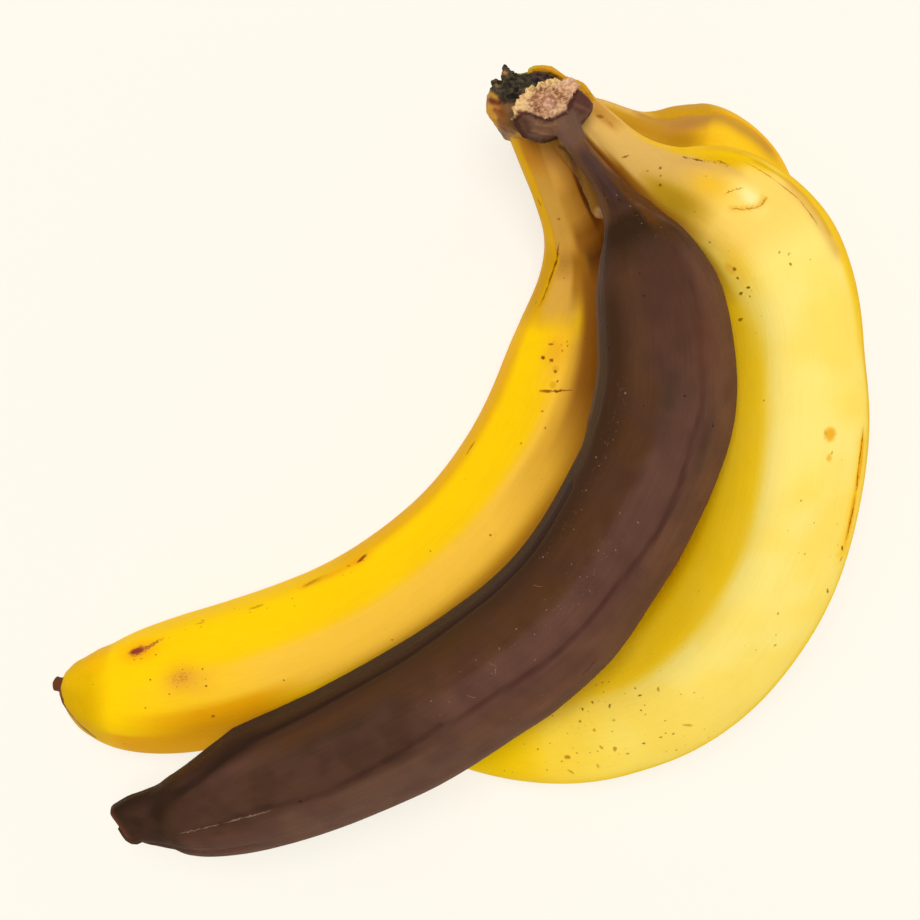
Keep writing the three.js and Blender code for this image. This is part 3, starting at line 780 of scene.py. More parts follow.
# %% [markdown]
# ## The overripe brown fruit
# Its peel is brown right through. The hollow side is painted darker as shade, nearly black along the crease, with a
# slate edge beyond it; the outer flank is painted a lighter chestnut where the light falls on it; between them lies
# plum. Under the neck the shoulder is almost black, and where the neck lies against the outer fruit it is painted dark
# as shade. The last strokes are soft blots of no fixed shape, because decay spreads from chance places.
# %% Airbrush the brown fruit
brown.bands(
    ((97, 64, 52), (-8, 13, 13), (0.26, 0), (0.32, 0.6), (0.38, 1), (0.54, 1), (0.64, 0.8), (0.7, 0)),
    # painted shade: the next two stripes darken the hollow side, which faces away from the light
    ((80, 50, 27), (27, 11, 12), (0.24, 0.6), (0.3, 1), (0.8, 1), (0.86, 0)),
    ((64, 40, 23), (64, 17, 14), (0.14, 0), (0.2, 1), (0.92, 1)),
    ((56, 39, 37), (86, 16, 10), (0.32, 0), (0.4, 1), (0.9, 1), (0.95, 0)),
    # painted light: the outer flank is lighter where the light falls on it
    ((106, 70, 50), (-62, 26, 12), (0.16, 0), (0.2, 1), (0.58, 1), (0.84, 0.9), (0.92, 0)),
    ((72, 47, 33), (-2, 20, 14), (0.64, 0), (0.7, 1), (0.93, 1)),
    ((99, 70, 54), (-38, 10, 8), (0.62, 0), (0.68, 1), (0.84, 1), (0.9, 0)),
    ((78, 49, 35), (-5, 20, 14), (0.15, 0), (0.17, 0.9), (0.24, 0.8), (0.28, 0)),
    ((53, 34, 19), (10, 60, 24), (0.108, 0), (0.125, 1), (0.14, 1), (0.155, 0.5), (0.175, 0)),
    ((114, 78, 54), ALL_ROUND, (0, 1), (0.035, 1), (0.05, 0.4), (0.06, 0)),
    ((83, 58, 43), (0, 36, 20), (0.035, 0), (0.06, 1), (0.075, 0.6), (0.1, 0)),
    ((69, 45, 32), (8, 22, 16), (0.07, 0), (0.09, 1), (0.11, 1), (0.12, 0)),
    ((126, 82, 38), (-80, 18, 16), (0.03, 0), (0.05, 1), (0.07, 1), (0.09, 0)),
    # painted shade where the neck lies against the outer fruit
    ((94, 55, 19), (-60, 34, 14), (0.07, 0), (0.095, 1), (0.135, 1), (0.15, 0.3), (0.17, 0)),
    ((96, 62, 30), (74, 22, 16), (0.03, 0.6), (0.1, 1), (0.115, 0.6), (0.125, 0)),
    ((60, 39, 23), ALL_ROUND, (0.925, 0), (0.945, 0.9), (1, 1)),
    ((46, 29, 18), (5, 45, 20), (0.93, 0), (0.96, 1), (1, 1)),
    ((92, 52, 34), (40, 70, 30), (0.993, 0), (0.997, 1), (1, 1)))
brown.strokes(
    ((46, 27, 17), (0.95, ("crisp_line", LEFT_CREASE, 1.3, 1.5), ("stretch", (0.4, 0), (0.46, 1)))),
    ((48, 30, 20), (0.7, ("line", [(0.84, 50), (0.88, 44), (0.91, 36), (0.94, 28), (0.965, 20)], 3.4))),
    ((74, 44, 36), (0.85, ("crisp_line", RIGHT_CREASE, 0.95, 1.6),
     ("stretch", (0.2, 0), (0.28, 0.7), (0.36, 1), (0.62, 1), (0.7, 0)))),
    ((56, 34, 26), (0.8, ("crisp_line", LOWER_CREASE, 0.8, 1.5))),
    ((126, 78, 52), (0.85, ("spot", 0.574, -58, 15, 3.6)), (0.25, ("spot", 0.33, -62, 22, 4))),
    ((98, 58, 40), (0.6, ("spot", 0.24, -30, 12, 6)), (0.4, ("spot", 0.62, 18, 14, 4))),
    ((78, 52, 22), (0.5, ("spot", 0.62, 42, 26, 5))),
    ((60, 44, 30), (0.6, ("spot", 0.285, 4, 9, 2.6)), (0.5, ("spot", 0.32, -34, 9, 2.6)),
     (0.4, ("spot", 0.74, 22, 22, 3))),
    ((98, 74, 64), (0.7, ("line", [(0.118, -26), (0.126, -40), (0.14, -56), (0.158, -74)], 0.8))),
    ((74, 52, 52), (0.6, ("line", [(0.05, 6), (0.1, 0)], 1.6))),
    ((72, 46, 38), (0.35, ("cloud", 9, 3.0), ("facing", -20, 50, 30), ("stretch", (0.15, 0), (0.25, 1), (0.9, 1)))),
    ((112, 76, 58), (0.22, ("cloud", 6, 7.0), ("facing", -40, 50, 30), ("stretch", (0.15, 0), (0.25, 1), (0.85, 1)))))
DUST_LINE = [(0.27, 44), (0.3, 42), (0.33, 48), (0.345, 42), (0.378, 43), (0.4, 43), (0.43, 42), (0.47, 44)]
brown.strokes(
    ("scuff", (1, ("line", DUST_LINE, 1.8)), (0.7, ("spot", 0.46, 2, 26, 5)), (0.6, ("spot", 0.6, 4, 14, 6)),
     (0.5, ("spot", 0.13, -8, 8, 5)), (0.25, ("spot", 0.62, -50, 30, 5))),
    ("dots", (0.01,), (0.3, ("spot", 0.26, 44, 20, 6)), (0.3, ("spot", 0.12, -6, 8, 5))))
for peel in peels.values():
    peel.finish()

# %% [markdown]
# ## One recipe for peels
# A ripe peel is smooth and slightly waxy. Under its sheen run fine lengthwise fibres; over it lie dots, rubbed marks
# and bruises. The recipe starts from the airbrushed tint and adds what is too fine for brushes: noise on the
# straightened peel, so that nothing slides when the fruit turns. Masks say where a bruise goes, and noise breaks its
# edge. Marks are small ellipses at named places, whose coordinates are shaken until they look torn rather than drawn.
# %% Marks on a peel
def attribute(tree, name, output="Fac"):
    return add(tree, "ShaderNodeAttribute", attribute_name=name).outputs[output]


def tinted(tree, brightness):
    """The airbrushed colour times a brightness."""
    colour = attribute(tree, "tint", "Color")
    return add(tree, "ShaderNodeHueSaturation", {"Value": brightness, "Color": colour}).outputs[0]


def end_material(tree, colour, roughness, gleam, height=None):
    """Ends a material tree with its surface. The height is a fine relief in millimetres."""
    inputs = {"Base Color": colour, "Roughness": roughness, "Specular IOR Level": gleam}
    if height is not None:
        bump = add(tree, "ShaderNodeBump", {"Height": height, "Distance": 1 / MM_PER_M, "Strength": 1.0})
        inputs["Normal"] = bump.outputs[0]
    add(tree, "ShaderNodeOutputMaterial", {0: add(tree, "ShaderNodeBsdfPrincipled", inputs).outputs[0]})


def flecks(tree, place, cell, smallest, largest, density):
    """Dots of random size, one in each cell that the density lets through."""
    cells = add(tree, "ShaderNodeTexVoronoi", {"Vector": place, "Scale": 1 / cell}, voronoi_dimensions="2D")
    dice = add(tree, "ShaderNodeSeparateColor", {0: cells.outputs["Color"]})
    often_small = calc(tree, "POWER", dice.outputs[0], 2)
    size = calc(tree, "MULTIPLY_ADD", often_small, (largest - smallest) / cell, smallest / cell)
    inside = remap(tree, calc(tree, "DIVIDE", cells.outputs["Distance"], size), 0.65, 1.1, 1, 0)
    return calc(tree, "MULTIPLY", inside, calc(tree, "LESS_THAN", dice.outputs[1], density))


def on_flat(fruit, share, angle):
    """Where a place on the fruit lies on its straightened peel, in millimetres."""
    return math.radians(angle) * float(smooth_radius(fruit["outline"], share)), share * fruit["length"]


def streaks(fruit, *lines):
    """Lines as chains of ellipses. Each point of a line is share, angle and half width."""
    ellipses = []
    for (s0, a0, w0), (s1, a1, w1) in [pair for points in lines for pair in zip(points, points[1:])]:
        (x0, y0), (x1, y1) = on_flat(fruit, s0, a0), on_flat(fruit, s1, a1)
        long = 0.62 * math.hypot(x1 - x0, y1 - y0) + 0.1
        turn = math.degrees(math.atan2(x0 - x1, y1 - y0))
        ellipses.append(((x0 + x1) / 2, (y0 + y1) / 2, long, (w0 + w1) / 2, turn, 1.0))
    return ellipses


def dabs(fruit, places):
    """Single ellipses. Each is share, angle, half length, half width, turn and strength."""
    return [(*on_flat(fruit, share, angle), *rest) for share, angle, *rest in places]


def marks(tree, place, ellipses):
    """All the ellipses as one mask. Each one takes the mask so far as its third coordinate, which is 0 off the marks:
    that makes the renderer work them out one after another, and it can hold only a few dozen values at a time."""
    flat = add(tree, "ShaderNodeSeparateXYZ", {0: place}).outputs
    mask = 0.0
    for x, y, long, wide, turn, strength in ellipses:
        here = add(tree, "ShaderNodeCombineXYZ", {0: flat[0], 1: flat[1], 2: mask}).outputs[0]
        ellipse = {"Location": (x, y, 0), "Rotation": (0, 0, math.radians(turn)), "Scale": (wide, long, 1)}
        local = add(tree, "ShaderNodeMapping", {"Vector": here, **ellipse}, vector_type="TEXTURE")
        inside = remap(tree, vector_calc(tree, "LENGTH", local.outputs[0]), 0.5, 1.2, strength, 0)
        mask = calc(tree, "MAXIMUM", mask, inside)
    return mask


# %% The peel recipe
def peel_finish(skin, layers, fleck_colour, fleck_sizes, mark_sets, fibre=0.05, roughness=0.5, gleam=0.02, pores=0.05,
                seed=0.0, scuff=None):
    """Dresses a peel. Layers are a mask's name, its stain and strength; fleck sizes are cell, smallest and largest in
    millimetres; a mark set is a stain and its ellipses; scuff is a colour and the size of its crumbs' cells."""
    t = fresh(skin)
    peel, flat = attribute(t, "peel", "Vector"), attribute(t, "flat", "Vector")
    broad = clouds(t, peel, 0.07, 3.0, seed=seed)
    cloudy = clouds(t, peel, 0.45, 4.0, 0.6, seed=seed + 1)
    fibres = clouds(t, vector_calc(t, "MULTIPLY", peel, (1.5, 0.05, 1.5)), 1.0, 4.0, seed=seed)
    grain = clouds(t, peel, 2.6, 3.0, 0.6)
    shake = vector_calc(t, "SUBTRACT", clouds(t, peel, 1.6, 3.0, output="Color"), (0.5, 0.5, 0.5))
    shaken = vector_calc(t, "ADD", flat, vector_calc(t, "SCALE", shake, 0.9))
    tone = calc(t, "ADD", sway(t, broad, 0.5, 0.1), sway(t, fibres, 0.5, fibre * 3))
    tone = calc(t, "ADD", tone, sway(t, cloudy, 0.5, 0.06))
    colour = tinted(t, calc(t, "ADD", tone, 1.0))
    for name, stain, strength in layers:
        edge = calc(t, "MULTIPLY_ADD", calc(t, "SUBTRACT", grain, 0.5), 1.3, attribute(t, name))
        there = calc(t, "MULTIPLY", remap(t, attribute(t, name), 0.02, 0.3), remap(t, edge, 0.3, 0.75))
        colour = blend(t, calc(t, "MULTIPLY", there, strength), colour, stain)
    cell, smallest, largest = fleck_sizes
    dots = flecks(t, shaken, cell, smallest, largest, attribute(t, "dots"))
    colour = blend(t, calc(t, "MULTIPLY", dots, 0.8), colour, fleck_colour)
    scars = dots
    for stain, ellipses in mark_sets:
        mask = calc(t, "MULTIPLY", marks(t, shaken, ellipses), remap(t, cloudy, 0.25, 0.5, 0.6, 1.0))
        colour = blend(t, mask, colour, stain)
        scars = calc(t, "MAXIMUM", scars, mask)
    if scuff:
        pale, size = scuff
        rubbed = clouds(t, vector_calc(t, "MULTIPLY", shaken, (1.0, 0.4, 1.0)), 1.5, 5.0, 0.75)
        crumbs = flecks(t, shaken, size, 0.05, 0.22, calc(t, "MULTIPLY", attribute(t, "scuff"), 0.5))
        dust = calc(t, "MULTIPLY", remap(t, rubbed, 0.56, 0.72), attribute(t, "scuff"))
        cover = calc(t, "MAXIMUM", calc(t, "MULTIPLY", crumbs, 0.85), calc(t, "MULTIPLY", dust, 0.45))
        colour = blend(t, cover, colour, pale)
    height = calc(t, "ADD", calc(t, "MULTIPLY", fibres, fibre * 2), calc(t, "MULTIPLY", grain, pores))
    gloss = calc(t, "ADD", calc(t, "MULTIPLY_ADD", cloudy, 0.16, roughness - 0.08), calc(t, "MULTIPLY", scars, 0.2))
    end_material(t, colour, gloss, gleam, height)
    print(skin.name, "uses", len(t.nodes), "nodes")


# %% [markdown]
# ## Marks of the four peels
# A handled banana carries a few old scratches, red-brown and dry, with an orange halo where the peel healed, and dots
# where pores burst. The places are given as share and angle, so a mark stays put if a spine changes. The brown fruit
# has none of these left; it has a pale line where the peel split a little, and dust rubbed into its top.
# %% Mix the two upper yellow peels
DOT, SCAR, OLD_DOT = shade(120, 72, 14), shade(132, 62, 20), shade(176, 126, 24)
PALE_BROWN, BURNT = shade(172, 118, 30), shade(105, 55, 25)
L, R = FRUITS["banana_left"], FRUITS["banana_right"]
LEFT_MARKS = [
    (shade(212, 158, 12), streaks(L, [(0.15, 41, 0.9), (0.168, 50, 1.1), (0.193, 51, 1.1), (0.225, 51, 0.8)])
     + dabs(L, [(0.318, 12, 1.0, 1.0, 0, 0.6), (0.3, 13, 1.0, 1.0, 0, 0.6), (0.679, 55, 4.2, 1.2, 5, 0.5)])),
    (shade(138, 76, 14), streaks(L, [(0.138, 37, 0.15), (0.155, 44, 0.34), (0.168, 51, 0.42), (0.193, 51, 0.38),
        (0.221, 51, 0.14)], [(0.328, 21, 0.5), (0.3245, 11, 0.45), (0.321, 3, 0.22), (0.318, -5, 0.12)])
     + dabs(L, [(0.426, 55, 2.4, 0.4, 4, 0.7), (0.752, 51, 2.2, 0.5, 0, 0.5), (0.817, 53, 1.4, 0.45, 0, 0.4)])),
    (shade(140, 52, 40), dabs(L, [(0.894, 44, 2.4, 0.9, 10, 0.9), (0.889, 45, 1.2, 1.2, 0, 0.6)])),
    (SCAR, dabs(L, [(0.614, 51, 1.9, 0.7, 12, 1), (0.632, 51, 0.5, 0.3, 0, 0.6), (0.682, 55, 2.6, 0.45, 5, 0.5),
        (0.871, 46, 1.2, 0.25, -8, 0.6), (0.889, 35, 0.3, 0.3, 0, 0.6), (0.898, 36, 0.3, 0.3, 0, 0.6),
        (0.29, 27, 0.6, 0.7, 0, 1), (0.291, 19, 0.55, 0.7, 10, 0.9), (0.272, 23, 0.35, 0.8, 0, 0.8),
        (0.303, 13, 0.6, 0.45, 0, 0.9), (0.313, 9, 0.35, 0.35, 0, 0.9), (0.348, 13, 0.4, 0.4, 0, 0.8),
        (0.364, 5, 0.35, 0.3, 0, 0.8), (0.391, 17, 0.35, 0.35, 0, 0.6), (0.266, 8, 0.4, 0.3, 0, 0.5),
        (0.278, 11, 0.35, 0.35, 0, 0.5), (0.826, -27, 0.45, 0.45, 0, 0.9), (0.546, 19, 0.3, 0.3, 0, 0.5),
        (0.085, 58, 1.0, 0.3, 20, 0.8), (0.105, 20, 0.35, 0.35, 0, 0.7)]))]
RIGHT_MARKS = [
    (shade(242, 170, 16), dabs(R, [(0.403, -24, 1.5, 2.0, 0, 0.9), (0.421, -25, 0.8, 0.9, 0, 0.7),
        (0.23, 30, 2, 1.2, 0, 0.5)])
     + streaks(R, [(0.405, -57, 0.9), (0.45, -56, 1.1), (0.49, -57, 0.8)])),
    # a stain along the fine crease, then painted shade along the dent's lower and upper rims
    (shade(190, 132, 34), streaks(R, [(0.18, -49, 0.12), (0.204, -49, 0.22), (0.221, -51, 0.22), (0.24, -50, 0.12)],
        [(0.194, -4, 0.1), (0.201, -9, 0.17), (0.208, -20, 0.2), (0.207, -30, 0.14)],
        [(0.183, -13, 0.1), (0.186, -19, 0.18), (0.19, -25, 0.1)])),
    (shade(138, 76, 12), streaks(R, [(0.403, -57, 0.12), (0.431, -55, 0.3), (0.448, -57, 0.12)],
        [(0.458, -57, 0.2), (0.487, -57, 0.12)])
     + dabs(R, [(0.497, -55, 0.9, 0.3, 50, 0.9), (0.506, -57, 0.6, 0.25, -30, 0.8),
         (0.533, -55, 0.9, 0.3, 60, 0.8)])),
    (OLD_DOT, dabs(R, [(0.82, -27, 0.9, 0.7, 0, 0.9), (0.774, -3, 0.4, 0.4, 0, 0.7), (0.747, 2, 0.5, 0.4, 0, 0.7),
        (0.777, -21, 0.4, 0.8, 20, 0.8), (0.765, -26, 0.5, 1.0, -30, 0.8), (0.757, -35, 0.5, 0.4, 0, 0.7),
        (0.69, -30, 0.5, 1.3, 30, 0.6), (0.822, -45, 0.3, 1.2, 30, 0.7), (0.792, -41, 0.3, 1.0, -20, 0.6),
        (0.679, 11, 0.3, 0.8, -30, 0.8)])),
    (DOT, dabs(R, [(0.135, -37, 0.9, 0.3, 0, 0.8), (0.148, -36, 1.4, 0.35, 8, 0.9), (0.166, -39, 0.8, 0.25, 0, 0.7),
        (0.083, 5, 1.2, 0.32, 50, 0.8), (0.12, -11, 0.35, 0.4, 0, 0.9), (0.112, 2, 0.3, 0.3, 0, 0.6),
        (0.13, 8, 0.4, 0.35, 0, 1), (0.125, -2, 0.3, 0.3, 0, 0.7), (0.033, -24, 1.1, 0.6, 40, 0.7),
        (0.233, 27, 0.6, 0.5, 0, 0.8), (0.196, 27, 0.4, 0.35, 0, 0.8), (0.243, 29, 0.35, 0.35, 0, 0.9),
        (0.257, 25, 0.45, 0.5, 0, 0.9), (0.259, 33, 0.5, 0.6, 20, 0.9), (0.266, 27, 0.3, 0.3, 0, 0.8),
        (0.286, 43, 0.4, 0.9, 0, 0.8), (0.256, -11, 0.45, 0.35, 0, 0.8), (0.248, -14, 0.3, 0.5, 0, 0.5),
        (0.373, 27, 0.35, 0.3, 0, 0.7), (0.702, 14, 0.5, 0.35, 0, 0.9), (0.712, 3, 0.35, 0.35, 0, 0.8),
        (0.704, 5, 0.3, 0.3, 0, 0.7), (0.744, 14, 0.7, 0.35, 40, 1), (0.764, 21, 0.35, 0.35, 0, 0.9),
        (0.779, 17, 0.35, 0.35, 0, 0.9), (0.787, 7, 0.45, 0.4, 0, 0.9), (0.737, -29, 0.4, 0.4, 0, 0.9),
        (0.719, -29, 0.35, 0.3, 0, 0.9), (0.712, -27, 0.3, 0.3, 0, 0.7), (0.707, -31, 0.3, 0.3, 0, 0.8),
        (0.85, -17, 0.35, 0.35, 0, 0.7), (0.807, -23, 0.35, 0.3, 0, 0.7), (0.402, -20, 0.5, 0.5, 0, 0.3),
        (0.417, -27, 0.4, 0.4, 0, 0.5)]))]
peel_finish(skins["banana_left"], [("bruise", shade(152, 60, 46), 0.9), ("burnt", shade(104, 58, 34), 1.0)],
            DOT, (2.2, 0.1, 0.3), LEFT_MARKS, fibre=0.035, seed=1.0)
peel_finish(skins["banana_right"], [("bruise", shade(150, 92, 52), 0.85), ("burnt", BURNT, 1.0)],
            PALE_BROWN, (2.2, 0.08, 0.3), RIGHT_MARKS, fibre=0.03, seed=2.0)

# %% Mix the back and the brown peel
BACK, B = FRUITS["banana_back"], FRUITS["banana_brown"]
BACK_MARKS = [
    (SCAR, dabs(BACK, [(0.5, 20, 3, 0.5, 0, 0.7), (0.62, -30, 1, 0.6, 0, 0.7), (0.7, 60, 2.5, 0.4, 10, 0.8),
        (0.4, 80, 0.5, 0.5, 0, 0.8)]))]
BROWN_MARKS = [
    (shade(128, 103, 80), streaks(B, [(0.935, -22, 0.1), (0.915, -18, 0.2), (0.9, -17, 0.1)],
        [(0.892, -17, 0.1), (0.875, -17, 0.22), (0.85, -18, 0.1)], [(0.586, 8, 0.05), (0.582, 2, 0.1),
        (0.588, -4, 0.05)], [(0.5, 34, 0.05), (0.494, 28, 0.1)], [(0.622, -4, 0.05), (0.616, -10, 0.1)])),
    (shade(36, 22, 16), streaks(B, [(0.52, -56, 0.1), (0.527, -58, 0.3), (0.536, -59, 0.1)]))]
peel_finish(skins["banana_back"], [("bruise", shade(150, 100, 66), 0.6), ("burnt", BURNT, 1.0)],
            DOT, (2.4, 0.1, 0.4), BACK_MARKS, fibre=0.04, seed=3.0)
peel_finish(skins["banana_brown"], [("burnt", shade(50, 32, 24), 1.0)],
            shade(46, 30, 22), (2.6, 0.12, 0.45), BROWN_MARKS, fibre=0.1, roughness=0.55, gleam=0.03, pores=0.09,
            seed=4.0, scuff=(shade(140, 112, 96), 1.25))

# %% [markdown]
# ## Rounded lumps of plant
# The crown and the torn bit of it aren't swept shapes. They are easiest as a few balls wrapped in a skin, the way a
# modeller would press pellets of clay together. Each group of balls gets its convex hull; the hulls are then fused by
# a voxel remesh, which also gives an even skin that takes dents and paint well, and a smooth rounds the seams.
# %% Fuse balls into one skin
def hull_into(target, balls):
    """Wraps the balls in one convex skin inside the bmesh."""
    made = bmesh.new()
    for x, y, z, radius in balls:
        bmesh.ops.create_icosphere(made, subdivisions=2, radius=radius, matrix=Matrix.Translation((x, y, z)))
    bmesh.ops.delete(made, geom=made.edges[:] + made.faces[:], context="EDGES_FACES")
    bmesh.ops.convex_hull(made, input=made.verts)
    bmesh.ops.delete(made, geom=[v for v in made.verts if not v.link_faces], context="VERTS")
    mesh = bpy.data.meshes.new("hull")
    made.to_mesh(mesh)
    made.free()
    target.from_mesh(mesh)
    bpy.data.meshes.remove(mesh)


def fused(name, groups, voxel, smooth):
    """One closed skin round all groups, in metres, with its balls given in millimetres."""
    made = bmesh.new()
    for balls in groups:
        hull_into(made, balls)
    for v in made.verts:
        v.co = (v.co + Vector(MIDDLE)) / MM_PER_M
    mesh = bpy.data.meshes.new(name)
    made.to_mesh(mesh)
    made.free()
    piece = put(name, mesh)
    remesh = piece.modifiers.new("one skin", "REMESH")
    remesh.mode, remesh.voxel_size = "VOXEL", voxel / MM_PER_M
    soft = piece.modifiers.new("round the seams", "SMOOTH")
    soft.iterations, soft.factor = smooth, 0.5
    settle(piece).data.shade_smooth()
    return piece


def chain(points):
    """Balls joined two by two, for a rod that bends."""
    return [[a, b] for a, b in zip(points, points[1:])]


# %% [markdown]
# ## The crown
# The crown is where the hand was cut from its stalk. Its sides are the same skin as the necks, while the cut itself
# has dried into dark, shrivelled folds with one sharp point left standing. Curled edges of yellow skin stand round the
# far side. Short roots of the three yellow necks are fused in, so that fruit and crown flow into each other.
# %% Build the crown
CROWN_BALLS = [(11.9, 83.2, 48, 6.2), (11.4, 81.2, 46, 3.9), (18.5, 85.4, 49.2, 5.6), (25, 84.6, 46.3, 5.5),
    (17.5, 80.5, 45, 6.4), (15, 82.5, 34, 7.2), (23, 84.5, 29, 7.4)]
CUT_LUMPS = [[(12.6, 86.4, 49.6, 3.6), (16.8, 88.2, 49.4, 2.6)], [(9.6, 86.2, 49.6, 1.8), (8.3, 87.5, 50.2, 1.2)],
    [(14.5, 84.6, 51.6, 2.4), (12.2, 83.2, 51.4, 1.8)], [(11.4, 87.2, 51.4, 1.7), (13.6, 86.6, 52.2, 1.3)],
    [(19, 88.6, 51, 1.4), (22.5, 88.2, 50.6, 1.3)]]
SPIKE = [(12.4, 87.4, 49.8, 2.6), (11.3, 89.2, 50.8, 1.7), (10.75, 90.8, 51.6, 0.95), (10.4, 91.7, 52.2, 0.4)]
STUB_BALLS = [(23, 78.5, 46, 4.2), (30.1, 67.3, 45.5, 2.75), (33.2, 58.9, 43.7, 2.35)]
FAR_EDGE = [(16.2, 90.9, 50.9, 0.5), (17.4, 91.2, 51.5, 0.75), (19.3, 91.2, 52, 0.8), (20.9, 90.9, 52, 0.85),
    (22.6, 89.9, 51.7, 0.8), (24.4, 88.9, 51, 0.7), (25.6, 88.3, 50.4, 0.6)]
ROOT_EDGE = [(25.7, 88.2, 50.3, 0.6), (27.1, 88.1, 50, 0.7), (28.4, 87.5, 49.6, 0.75), (29.7, 86.1, 49.1, 0.8),
    (30.7, 84.5, 48.5, 0.8), (31.2, 83.4, 48, 0.8)]


def neck_roots(fruit, swell):
    """Balls along the first part of a fruit's spine, thick at the root and thinner than the neck at the end."""
    roots = []
    for share, extra in ((0.0, swell), (0.015, swell * 0.6), (0.03, 0.0), (0.042, -0.8)):
        radius = 0.9 * float(smooth_radius(fruit["outline"], share)) + extra
        roots.append((*(on_spine_line(fruit, share)[0] - MIDDLE), radius))
    return chain(roots)


groups = [CROWN_BALLS, *CUT_LUMPS, *chain(SPIKE), *chain(STUB_BALLS), *chain(FAR_EDGE), *chain(ROOT_EDGE)]
for name in ("banana_left", "banana_right", "banana_back"):
    groups += neck_roots(FRUITS[name], 0.5)
crown = Skin(fused("crown_skin", groups, voxel=0.34, smooth=3), (208, 152, 30))
print("points on the crown's skin:", len(crown.place))

# %% [markdown]
# The cut is the part of the top inside a few rough ovals and strips, with an edge that noise breaks up. There the flesh
# sank and folded: ridged noise of two sizes, which is noise folded over at zero, leaves sharp crests like dried skin.
# Outside it only soft waves remain. Paint follows the same mask, so that shape and colour tell one story: the crests
# get painted highlights and the hollows between them painted shade.
# %% Shrivel the cut
place = crown.place
broad, fine = rough(place, 3.2, seed=1.0), rough(place, 1.3, seed=5.0)
crests = 1 - 2 * np.abs(rough(place * [1, 1.5, 1], 2.6, 2, seed=9.0))
small_crests = 1 - 2 * np.abs(rough(place * [1.4, 1, 1], 1.1, 2, seed=3.0))
CUT_PARTS = [(1, ("oval", 15.8, 87.2, 9.4, 4.6, -10, 1.0)), (1, ("oval", 12.6, 84.9, 5.0, 3.6, 0, 1.0)),
    (0.9, ("seam", [(8.2, 87.6), (9.5, 86.4)], 2.2)), (1, ("seam", [(18, 89.4), (21, 89), (24, 87.8)], 1.8)),
    (0.9, ("seam", [(10.4, 91.8), (11.2, 89.6), (12, 88)], 2.4))]
inside = np.max([crown.brush(*part) for part in CUT_PARTS], axis=0)
cut = ease((inside + 0.14 * broad + 0.1 * fine - 0.1) / 0.3) * slope(place, Z, 44.5, 3)
edges = np.maximum(crown.seam([p[:2] for p in FAR_EDGE], 1.1), crown.seam([p[:2] for p in ROOT_EDGE], 1.4))
rims = slope(place, Y, 83.5, 1.5) * edges * slope(place, Z, 46, 3)
cut = cut * (1 - ease(rims / 0.5))
spike = crown.seam([(10.4, 91.8), (10.8, 90.6)], 1.2)
crown.press(cut * (0.55 - 0.75 * crests - 0.35 * small_crests - 0.2 * broad) * (1 - 0.7 * spike), 0.9)
crown.press((1 - cut) * (1 - rims) * (0.22 * broad + 0.12), 0.8)

# %% Airbrush the crown
crown.strokes(
    ((200, 150, 24), (1, ("oval", 29, 84, 6, 6))),
    ((218, 156, 20), (1, ("seam", [(5.9, 85.2), (5.9, 83), (6.6, 80), (7.4, 78.2), (10, 76.6)], 1.8))),
    ((214, 158, 96), (0.95, ("oval", 8.5, 82.0, 1.7, 3.6, 10, 0.7))),
    # painted shade in the hollow under the edge of the torn lump
    ((122, 86, 50), (1, ("oval", 11.5, 79.8, 3.4, 4.8, 0, 0.4))),
    ((112, 76, 54), (0.95, ("oval", 12.2, 78.0, 3.2, 2.4, 10, 0.8)), (0.8, ("oval", 12.2, 83.4, 2.6, 2.2, 0, 0.8))),
    ((128, 66, 24), (0.7, ("seam", [(7.6, 83.4), (9.8, 82.3)], 1.1)),
     (0.6, ("seam", [(8.6, 81), (10.2, 80.2)], 0.9))),
    ((92, 38, 14), (1, ("seam", [(6.9, 83.9), (7.9, 83.2), (9.1, 82.9)], 0.9)),
     (0.9, ("seam", [(9.1, 84.6), (9.9, 83.2)], 0.7))),
    ((142, 60, 22), (1, ("seam", [(8.1, 81.4), (9.4, 80.6)], 0.7)),
     (0.7, ("seam", [(9.2, 79.2), (10.8, 77.6)], 0.7))),
    ((214, 158, 20), (1, ("seam", [(11.6, 75.2), (12.8, 73)], 1.8))),
    ((190, 130, 50), (1, ("oval", 20, 74, 6, 4), 1 - crown.seam([(23, 75), (30, 66)], 3))),
    ((42, 34, 22), (1, cut)),
    ((44, 27, 30), (1, cut, ("oval", 20, 89, 6.4, 3.0, -12, 0.6))),
    # painted highlights on the crests of the cut
    ((96, 84, 62), (0.6, cut, ease((crests - 0.55) / 0.4)), (0.35, cut, ease((small_crests - 0.7) / 0.3))),
    # painted shade in the hollows between the crests
    ((18, 15, 12), (0.8, cut, ease((0.15 - crests) / 0.6))),
    ((214, 146, 70), (0.9, ("seam", [(10.2, 90.2), (10.5, 89.9)], 0.7)),
     (0.5, ("seam", [(8.4, 87.3), (8.8, 86.9)], 0.5))),
    ((214, 152, 18), (1, ease(rims / 0.4))),
    ((198, 176, 30), (0.9, ("seam", [(15.2, 91.1), (16.8, 91.4)], 1.0), ease(rims / 0.3))),
    # painted shade under the curled far edge
    ((88, 44, 16), (0.85, ("seam", [(17, 90.3), (19.4, 90.2), (21.2, 89.8), (23, 88.9), (24.6, 87.9)], 0.35),
     slope(place, Z, 47, 2))),
    ((176, 122, 20), (0.8, ("seam", [(29.4, 84.8), (30.6, 82.6), (31.4, 80.6)], 1.4))))
STUB_LINE = [(24, 76), (26.4, 72.4), (29.8, 67.5), (33.6, 58)]
stub = slope(place, Z, 40, 3) * crown.seam(STUB_LINE, 6) ** 0.5 * slope(place, Y, 77.5, -3)
